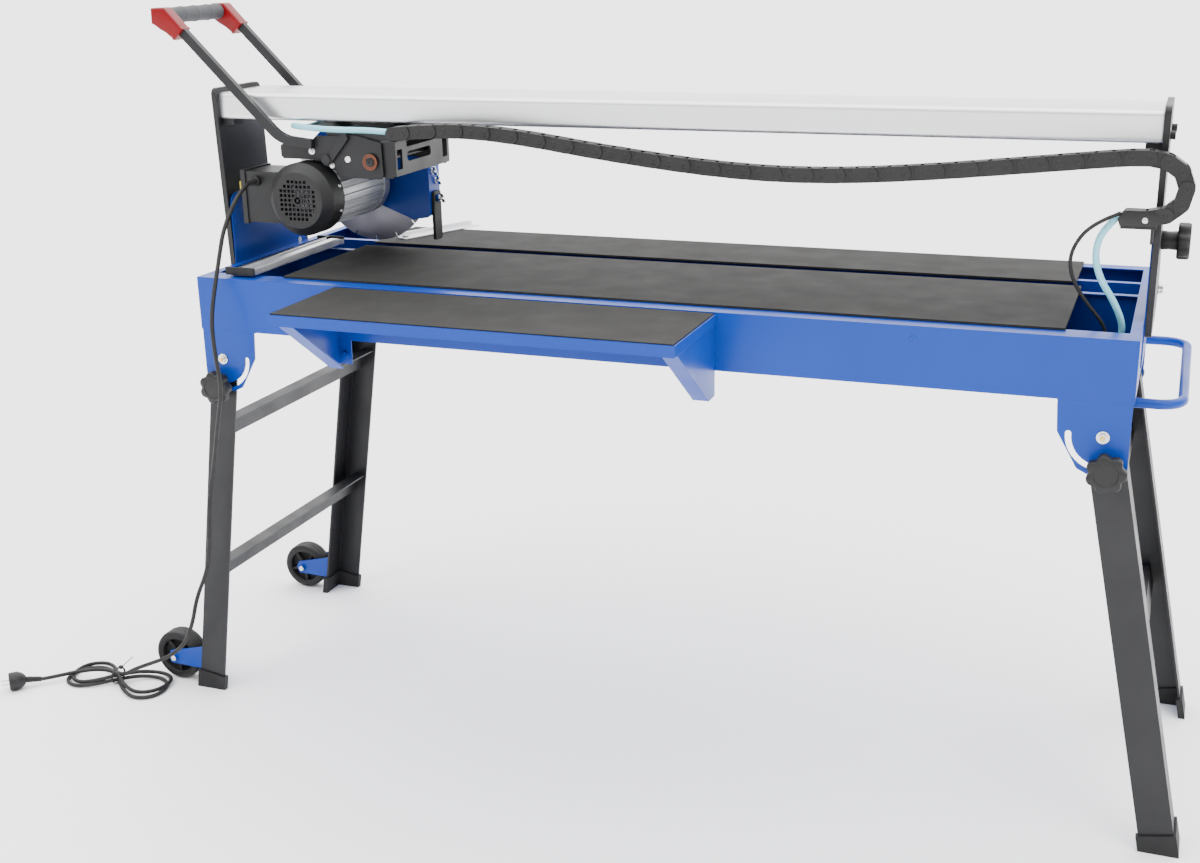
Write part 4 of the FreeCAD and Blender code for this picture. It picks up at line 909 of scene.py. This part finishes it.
def chain_end():
    """Moulded end link on the bracket, with its cord window and white screw."""
    bm = bmesh.new()
    outline = [(793, 1027.9), (846, 1027.9), (850, 1034), (850, 1046), (842, 1052.5),
               (800, 1052.5), (789, 1040)]
    for rear_y in (-187.6, -211.4):
        upright_prism(bm, outline, rear_y, 0.0032, 0.0010)
    for x0, x1, z0, z1 in ((795, 846, 1028, 1031), (800, 812, 1048.6, 1052),
                           (832, 844, 1048.6, 1052)):
        block(bm, at(x0, -212, z0), at(x1, -188, z1), 0.0008)
    finish_hardware("chain_end_link", bm, "chain", "bridge")
    screw = bmesh.new()
    pan_screw(screw, at(829, -214.4, 1038), (0, -1, 0), 0.0046, 0.002)
    finish_hardware("chain_end_screw", screw, "zinc", "bridge")


head_hardware()
box_hardware()
guard_hardware()
motor_hardware()
stand_hardware()
fence_hardware()
chain_end()


# ---------------------------------------------------------------- floor and light
ROOM_FRONT, ROOM_TOP, ROOM_REAR = 0.45, 4.6, 2.2     # strengths of the room's light
HALF_FLOOR = 60.0                                    # metres


def make_stage():
    """Plain pale floor, wide enough to have no edge in sight."""
    mat = surface("studio_floor", (0.96, 0.96, 0.965), (0.95, 0.95, 0.955), (0.75, 0.85), bump=0.0)
    bm = bmesh.new()
    corners = ((-1, -1), (1, -1), (1, 1), (-1, 1))
    bm.faces.new([bm.verts.new((x * HALF_FLOOR, y * HALF_FLOOR, 0.0)) for x, y in corners])
    mesh = bpy.data.meshes.new("studio_floor")
    bm.to_mesh(mesh)
    bm.free()
    floor = link("studio_floor", mesh)
    floor.data.materials.append(mat)


def smooth_ramp(tree, links, source, low, high):
    """Smooth rise from one (input, result) pair to another."""
    node = tree.new("ShaderNodeMapRange")
    node.interpolation_type = "SMOOTHSTEP"
    for end, (value, result) in (("Min", low), ("Max", high)):
        node.inputs["From " + end].default_value = value
        node.inputs["To " + end].default_value = result
    links.new(source, node.inputs["Value"])
    return node.outputs["Result"]


def area_light(name, place, target, size, power):
    data = bpy.data.lights.new(name, "AREA")
    data.shape = "RECTANGLE"
    data.size, data.size_y = size
    data.energy = power
    lamp = bpy.data.objects.new(name, data)
    lamp.matrix_world = Matrix.Translation(Vector(place)) @ basis(Vector(place) - Vector(target))
    bpy.context.collection.objects.link(lamp)


def make_light():
    """A bright white room overhead and behind, darker on the operator's side."""
    world = bpy.data.worlds.new("studio")
    world.use_nodes = True
    tree, links = world.node_tree.nodes, world.node_tree.links
    background = tree["Background"]
    background.inputs["Color"].default_value = (1.0, 1.0, 1.0, 1.0)
    coords = tree.new("ShaderNodeTexCoord")
    split = tree.new("ShaderNodeSeparateXYZ")
    links.new(coords.outputs["Generated"], split.inputs[0])
    front = smooth_ramp(tree, links, split.outputs["Z"], (0.25, ROOM_FRONT), (0.95, ROOM_TOP))
    rear = smooth_ramp(tree, links, split.outputs["Y"], (-0.1, 0.0), (0.9, ROOM_REAR))
    total = tree.new("ShaderNodeMath")
    total.operation = "ADD"
    links.new(front, total.inputs[0])
    links.new(rear, total.inputs[1])
    links.new(total.outputs["Value"], background.inputs["Strength"])
    bpy.context.scene.world = world
    area_light("key", (-2.6, -3.2, 3.8), (0, 0, 0.8), (2.2, 1.8), 60.0)
    area_light("fill", (3.4, -2.6, 2.6), (0, 0, 0.8), (2.0, 1.8), 40.0)


make_stage()
make_light()
